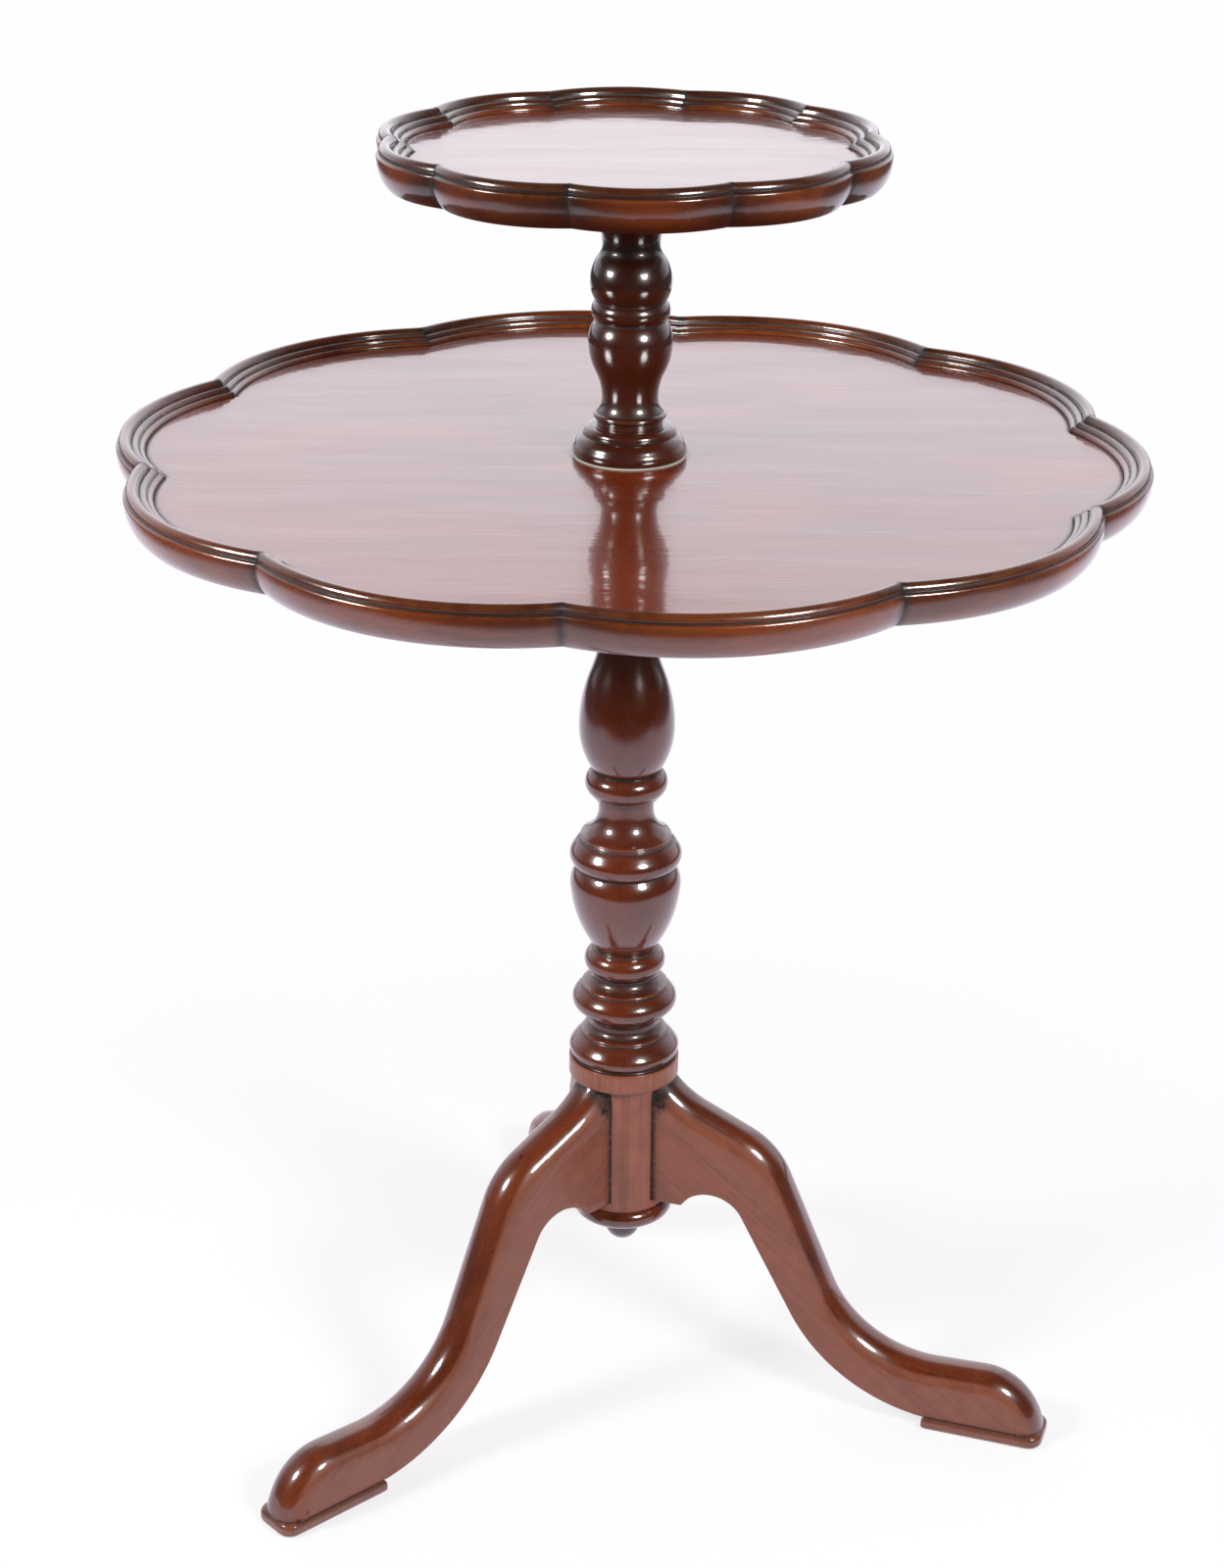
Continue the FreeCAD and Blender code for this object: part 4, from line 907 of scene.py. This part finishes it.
def rim_surface(tray, soft, steps, stray, stain, material):
    """A pie-crust rim: one section carried round ten lobes and mitred where they meet.

    A point of the section at radius p from its lobe's centre runs through the angles between
    plus and minus 18 degrees plus the arcsine of (centre distance times sine 18 degrees over p),
    which is where it meets the upright plane between two lobes. The plan strays inwards by an
    irregular line. stain sets how much the rim is painted darker: painted shade on the outer
    wall's lower edge and near the cusps, and a darker roll.
    """
    sizes = TRAYS[tray]
    line, relief = profile(RIM_SECTION, 170, soft, reach=1.3, loop=True)
    radius = sizes.crest + line[:, 0]
    height = line[:, 1]
    mitre = math.pi / LOBES
    reach = mitre + np.arcsin(sizes.centre * math.sin(mitre) / radius)
    share = np.linspace(-1, 1, steps + 1)[:-1, None]
    swing = share * reach
    headings = math.radians(sizes.turn) + np.arange(LOBES)[:, None, None] * 2 * mitre
    plan = rotated(sizes.centre + radius * np.cos(swing), radius * np.sin(swing), headings)
    x, y = (values.reshape(LOBES * steps, -1) for values in plan)
    from_cusp = np.tile((1 - np.abs(share)) * reach * radius, (LOBES, 1))
    angle = np.arctan2(y, x)
    distance = np.hypot(x, y)
    carved = 0.5 + 0.5 * wander(angle, seed=3, waves=9, longest=0.35)
    sunk = 0.5 + 0.5 * wander(angle, seed=8, waves=11, longest=0.30)
    kept = 1 - stray / MM * np.clip((height + 12) / 6, 0, 1) * carved / distance
    sink = stray / MM * np.clip(height / 5, 0, 1) * sunk
    x, y, z = x * kept * MM, y * kept * MM, (sizes.field + height - sink) * MM
    waxed, rubbed = handled(relief, hollow=0.2, arris=0.45)
    notch = dying(from_cusp, 0, fade=1.1)
    # Painted shade: the outer wall darkens towards its lower edge and towards the cusps, and the
    # roll is painted darker; the lower edge's painted shade also goes into the wax share, which
    # darkens and dulls it.
    edge = stain * dying(height, RIM_SECTION[0][1], fade=5) * (line[:, 0] > -3)
    roll = (0.45 + 0.4 * stain) * np.clip((height - 3) / 1.5, 0, 1)
    painted_shade_and_dark_roll = 0.9 * dying(from_cusp, 0, fade=20) * (0.4 + stain)
    painted_shade_and_dark_roll += edge + roll + 0.15 * (1 - stain)
    grime = np.clip(waxed + 0.9 * notch + 0.6 * edge, 0, 1)
    return surface(tray + "_tray_rim", np.stack([x, y, z], -1), True, tray + "_tray",
                   "rim_mahogany", material, sharp_rings=range(0, LOBES * steps, steps),
                   grain=tray_grain(x, y, z), grime=grime,
                   wear=0.5 * rubbed * (1 - notch), stain=np.clip(painted_shade_and_dark_roll, 0, 1))


class TABLE_OT_rims(bpy.types.Operator):
    """Make the moulded rims of both trays"""
    bl_idname = "table.rims"
    bl_label = "Pie-crust rims"

    def execute(self, context):
        shape = context.scene.table_shape
        wood = mahogany("rim mahogany", tone=(1.4, 1.45, 0.9), figure=0.9, peel=0.9)
        # The third number sets how far a rim is painted darker: painted shade at its lower edge
        # and cusps, and a darker roll.
        for tray, steps, stain in (("lower", shape.lobe_steps, 0.0),
                                   ("upper", shape.lobe_steps * 3 // 4, 0.8)):
            rim_surface(tray, shape.softness, steps, shape.carving, stain, wood)
        return {"FINISHED"}


def panel_surface(tray, ripple, material):
    """A tray's panel: rings between its bore and its ten-lobed outline, rippled along the grain.

    The outline at an angle a from a lobe's middle is c cos a plus the root of p squared less
    (c sin a) squared, with c the distance and p the radius of the lobe's centre. The ripples are
    a sum of sines that run mostly across the grain, faded out at the edge and under the foot.
    """
    sizes = TRAYS[tray]
    bore, mitre = sizes.bore, math.pi / LOBES
    angle = np.linspace(0, 2 * np.pi, PANEL_POINTS, endpoint=False) + mitre
    local = (angle + mitre) % (2 * mitre) - mitre

    def outline(radius):
        across = sizes.centre * np.sin(local)
        return sizes.centre * np.cos(local) + np.sqrt(radius ** 2 - across ** 2)

    inner = outline(sizes.crest - FIELD_EDGE)
    outer = outline(sizes.crest - FIELD_EDGE + RABBET)
    start = 0.5 if sizes.solid else bore
    rows = [(start + (inner - start) * share, 0) for share in np.linspace(0, 1, sizes.rings)]
    rows += [(inner, -depth) for depth in (0.15, 1.0, 2.0, RABBET_DEEP)]
    rows += [(outer, -depth) for depth in (RABBET_DEEP, 9.0, PANEL_THICK)]
    rows += [(bore + (outer - bore) * share, -PANEL_THICK)
             for share in np.linspace(1, 0, 15)[1:]]
    if sizes.solid:
        rows += [(bore + 0 * outer, -depth)
                 for depth in (PANEL_THICK / 2 + sizes.solid / 2, sizes.solid)]
    radius = np.stack([row[0] for row in rows])
    level = np.array([row[1] for row in rows])[:, None] + 0 * radius
    x, y = rotated(radius, 0, angle + math.radians(sizes.turn))
    grain = tray_grain(x * MM, y * MM, (level + sizes.field) * MM)
    random = np.random.default_rng(11)
    waves = np.zeros_like(x)
    for _ in range(RIPPLE_WAVES):
        length = random.uniform(*RIPPLE_LENGTHS)
        lean = random.normal(0, RIPPLE_LEAN)
        waves += length / FULL_RIPPLE * np.sin(2 * np.pi / length * (
            grain[..., 0] * math.cos(lean) + grain[..., 2] * math.sin(lean))
            + random.uniform(0, 6.28))
    on_top = level > -0.01
    edge_fade = np.clip((1 - radius / inner) / EDGE_FADE, 0, 1)
    foot_fade = np.clip((radius - sizes.stands) / FOOT_FADE, 0, 1)
    level = level + waves / 4 * ripple / MM * edge_fade * foot_fade * on_top
    corner = dying(np.abs(radius - inner), 0, fade=1.0)
    ring = dying(np.abs(radius - (sizes.stands - 1)), 0, fade=1.2) * (sizes.stands > 0)
    return surface(tray + "_tray_panel", np.stack([x, y, level + sizes.field], -1) * MM,
                   not sizes.solid, tray + "_tray", "tray_mahogany", material, grain=grain,
                   grime=np.clip(corner + 0.8 * ring, 0, 1) * on_top)


class TABLE_OT_panels(bpy.types.Operator):
    """Make the panels of both trays"""
    bl_idname = "table.panels"
    bl_label = "Tray panels"

    def execute(self, context):
        wood = mahogany("tray mahogany", tone=(1.15, 0.82, 0.55), figure=0.3, ripple=0.032,
                        peel=0.03, gloss=0.2)
        for tray in TRAYS:
            panel_surface(tray, context.scene.table_shape.ripple, wood)
        return {"FINISHED"}


def screw_heads(name, distance, height, size, body, material):
    """Four slotted screw heads round the axis: a plate under two half discs with a slot between.

    A half disc runs from the arcsine of (half the slot over the radius) to its mirror, and is
    closed by the chord between them. Each plate or half disc is three rings of its outline, the
    last one drawn in.
    """
    def circle(radius, angles):
        return radius * np.stack([np.cos(angles), np.sin(angles)], 1)

    lean = math.asin(SLOT_SHARE)
    half = circle(size, np.linspace(lean, math.pi - lean, 17))
    plate = circle(0.97 * size, np.arange(24) * math.pi / 12)
    points, faces, first = [], [], 0
    for number in range(4):
        heading = math.radians(35 + 90 * number)
        for outline, steps in ((half, HALF_HEAD), (-half, HALF_HEAD), (plate, HEAD_PLATE)):
            middle = outline.mean(0)
            drawn = middle + (outline - middle) * HEAD_SHARES
            x, y = rotated(drawn[..., 0], drawn[..., 1], 1.3 * number)
            level = height + np.array(steps)[:, None] + 0 * x
            points.append(np.stack([distance * math.cos(heading) + x,
                                    distance * math.sin(heading) + y, level], -1) * MM)
            index = first + np.arange(x.size).reshape(x.shape)
            first += x.size
            near, far = index[:-1], index[1:]
            sides = np.stack([near, far, np.roll(far, -1, 1), np.roll(near, -1, 1)], -1)
            faces += [index[0].tolist(), index[-1, ::-1].tolist(), *sides.reshape(-1, 4).tolist()]
    mesh = bpy.data.meshes.new(name)
    mesh.from_pydata(np.concatenate([part.reshape(-1, 3) for part in points]).tolist(), [], faces)
    piece = shown(name, mesh, material)
    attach(piece, body)
    return piece


class TABLE_OT_fittings(bpy.types.Operator):
    """Make the blocks under the trays with their screws, the leather washers and the felt ring"""
    bl_idname = "table.fittings"
    bl_label = "Blocks, washers and felt"

    def execute(self, context):
        under = mahogany("under mahogany", tone=(0.9, 0.9, 1.0), figure=0.8, peel=0.3,
                         gloss=0.45, coated=False)
        leather = soft_sheet("washer leather", (0.16, 0.07, 0.03), (0.07, 0.03, 0.015),
                             "creases", 0.0)
        felt = soft_sheet("felt", (0.55, 0.52, 0.43), (0.36, 0.33, 0.26), "fibres", 0.4)
        segments = context.scene.table_shape.turned_segments // 2
        for name, rows, body, slot, material in (
                ("lower_tray_block", 60, "lower_tray", "under_mahogany", under),
                ("upper_tray_block", 60, "upper_tray", "under_mahogany", under),
                ("lower_bearing_washer", 40, "stand", "washer_leather", leather),
                ("upper_bearing_washer", 40, "stand", "washer_leather", leather),
                ("foot_felt", 40, "stand", "felt", felt)):
            turned(name, rows, segments, 0.2, body, slot, material)
        iron = old_iron("screw iron")
        screw_heads("lower_block_screws", 42.0, 604.5, 4.0, "lower_tray", iron)
        screw_heads("upper_block_screws", 29.0, 791.5, 2.6, "upper_tray", iron)
        return {"FINISHED"}


# ---- Studio ----

def emptied(owner):
    """The wiring of a material or world, with nothing in it yet, and its rays' kinds."""
    owner.use_nodes = True
    owner.node_tree.nodes.clear()
    wires = Wiring(owner.node_tree)
    return wires, wires.add("ShaderNodeLightPath").outputs


def aimed_lamp(name, place, target, power, size, size_y=None):
    """An area lamp that looks at a point, round unless it has a second size."""
    data = bpy.data.lights.new(name, "AREA")
    data.shape = "RECTANGLE" if size_y else "DISK"
    data.size = size
    if size_y:
        data.size_y = size_y
    data.energy = power
    lamp = bpy.data.objects.new(name, data)
    lamp.location = place
    lamp.rotation_euler = (Vector(target) - Vector(place)).to_track_quat("-Z", "Y").to_euler()
    bpy.context.scene.collection.objects.link(lamp)


def around(azimuth, elevation, distance):
    """A point seen from the lamps' height at an azimuth from the front and an elevation."""
    a, e = math.radians(azimuth) + FRONT, math.radians(elevation)
    return (distance * math.sin(a) * math.cos(e), -distance * math.cos(a) * math.cos(e),
            LAMP_HEIGHT + distance * math.sin(e))


class TABLE_OT_studio(bpy.types.Operator):
    """Make the floor, the lamps, the surrounding light and the camera"""
    bl_idname = "table.studio"
    bl_label = "Studio"

    def execute(self, context):
        scene = context.scene
        studio = scene.table_studio
        scene.view_settings.view_transform = "Standard"
        self.lay_floor(studio)
        self.hang_lamps(studio)
        self.light_surround(scene, studio)
        self.place_camera(scene, studio)
        return {"FINISHED"}

    def lay_floor(self, studio):
        """A wide plane whose own light lifts it to white for the eye and keeps soft shadows."""
        material = bpy.data.materials.new("studio floor")
        wires, rays = emptied(material)
        place = wires.coordinates("Object")
        ahead = wires.along(place, FACING)
        beside = wires.maths("ABSOLUTE", wires.along(place, BESIDE))
        away = wires.add("ShaderNodeVectorMath", {0: place}, operation="LENGTH").outputs["Value"]
        # In the polish the floor dims in front of the table and far out to the sides.
        mirrored = wires.times(wires.ramp(ahead, -1.5, -0.75, 0.06, 1.0),
                               wires.ramp(beside, 1.2, 2.1, 1.0, 0.08))
        level = wires.larger(mirrored, rays["Is Camera Ray"])
        shade = wires.mixed(level, (0.03, 0.03, 0.03, 1.0), tinted(studio.floor))
        # For the eye its own light grows from the table's foot outwards, to plain white.
        eye = wires.times(rays["Is Camera Ray"],
                          wires.ramp(away, 0.28, 0.8, studio.floor_glow, 1.0))
        others = wires.larger(rays["Is Glossy Ray"], rays["Is Transmission Ray"])
        matt = wires.add("ShaderNodeBsdfDiffuse", {"Color": shade})
        tint = wires.mixed(rays["Is Camera Ray"], (1.0, 0.96, 1.1, 1.0), (1.0, 0.995, 1.0, 1.0))
        glow = wires.add("ShaderNodeEmission", {"Color": tint, "Strength": level})
        both = wires.add("ShaderNodeMixShader", {
            0: wires.larger(eye, others), 1: matt.outputs[0], 2: glow.outputs[0]})
        wires.add("ShaderNodeOutputMaterial", {0: both.outputs[0]})
        mesh = bpy.data.meshes.new("floor")
        corners = [(x * FLOOR_REACH, y * FLOOR_REACH, 0)
                   for x, y in ((-1, -1), (1, -1), (1, 1), (-1, 1))]
        mesh.from_pydata(corners, [], [(0, 1, 2, 3)])
        floor = shown("floor", mesh, material)

    def hang_lamps(self, studio):
        """Two round softboxes in front and a wide pale panel behind, which the trays mirror."""
        for name, azimuth in SOFTBOX_AZIMUTHS.items():
            aimed_lamp(name, around(azimuth, SOFTBOX_RISE, SOFTBOX_DISTANCE),
                       (0, 0, LAMP_HEIGHT), studio.softbox_power, SOFTBOX_SIZE)
        aimed_lamp("back panel", around(180, 24, 2.6), (0, 0, 0.7), studio.back_power,
                   size=3.4, size_y=1.5)

    def light_surround(self, scene, studio):
        """White for the eye, pale behind and dim in front for reflections, plain for the rest."""
        world = bpy.data.worlds.new("studio")
        scene.world = world
        wires, rays = emptied(world)
        direction = wires.coordinates("Generated")
        ahead = wires.along(direction, FACING)
        upward = wires.add("ShaderNodeSeparateXYZ", {0: direction}).outputs["Z"]
        # In the polish the studio is white beyond the table, and dark in front and overhead.
        mirrored = wires.times(wires.ramp(ahead, -0.05, 0.7, 0.05, 1.0),
                               wires.ramp(upward, 0.5, 0.85, 1.0, 0.12))
        plain = wires.times(wires.ramp(ahead, -0.35, 0.5, 0.08, 1.0), studio.surround)
        strength = wires.add("ShaderNodeMix", {
            0: rays["Is Glossy Ray"], 2: plain, 3: mirrored}).outputs[0]
        seen = wires.larger(rays["Is Camera Ray"], rays["Is Transmission Ray"])
        tint = wires.mixed(rays["Is Glossy Ray"], (1.0, 0.995, 1.0, 1.0), (1.0, 0.97, 1.06, 1.0))
        light = wires.add("ShaderNodeBackground", {
            "Color": tint, "Strength": wires.larger(strength, seen)})
        wires.add("ShaderNodeOutputWorld", {0: light.outputs[0]})

    def place_camera(self, scene, studio):
        """The camera stands in front, a little to the left, looking down on the trays."""
        data = bpy.data.cameras.new("camera")
        data.lens = studio.lens
        data.sensor_width = 36.0
        camera = bpy.data.objects.new("camera", data)
        scene.collection.objects.link(camera)
        scene.camera = camera
        swing, tilt, roll = (math.radians(angle) for angle in CAMERA_ANGLES)
        camera.matrix_world = (
            Matrix.Rotation(FRONT, 4, "Z") @ Matrix.Translation(CAMERA_PLACE)
            @ Matrix.Rotation(swing, 4, "Z") @ Matrix.Rotation(tilt, 4, "X")
            @ Matrix.Rotation(roll, 4, "Z"))


class TABLE_PT_panel(bpy.types.Panel):
    """The table's pieces and settings"""
    bl_idname = "TABLE_PT_panel"
    bl_label = "Side Table"
    bl_space_type = "VIEW_3D"
    bl_region_type = "UI"
    bl_category = "Side Table"

    def draw(self, context):
        scene = context.scene
        for heading, group in (("Finish", scene.table_finish), ("Shape", scene.table_shape),
                               ("Studio", scene.table_studio)):
            box = self.layout.box()
            box.label(text=heading)
            for name in group.__annotations__:
                box.prop(group, name)
        for operator in OPERATORS:
            self.layout.operator(operator.bl_idname)


GROUPS = (("table_finish", TableFinish), ("table_shape", TableShape),
          ("table_studio", TableStudio))
OPERATORS = (TABLE_OT_turned_work, TABLE_OT_legs, TABLE_OT_soles, TABLE_OT_rims, TABLE_OT_panels,
             TABLE_OT_fittings, TABLE_OT_studio)


def register():
    for name, group in GROUPS:
        bpy.utils.register_class(group)
        setattr(bpy.types.Scene, name, bpy.props.PointerProperty(type=group))
    for operator in OPERATORS:
        bpy.utils.register_class(operator)
    bpy.utils.register_class(TABLE_PT_panel)


def unregister():
    bpy.utils.unregister_class(TABLE_PT_panel)
    for operator in reversed(OPERATORS):
        bpy.utils.unregister_class(operator)
    for name, group in reversed(GROUPS):
        delattr(bpy.types.Scene, name)
        bpy.utils.unregister_class(group)


def main():
    """Make every piece and the stage."""
    register()
    for name in ("turned_work", "legs", "soles", "rims", "panels", "fittings", "studio"):
        getattr(bpy.ops.table, name)()


if __name__ == "__main__":
    main()
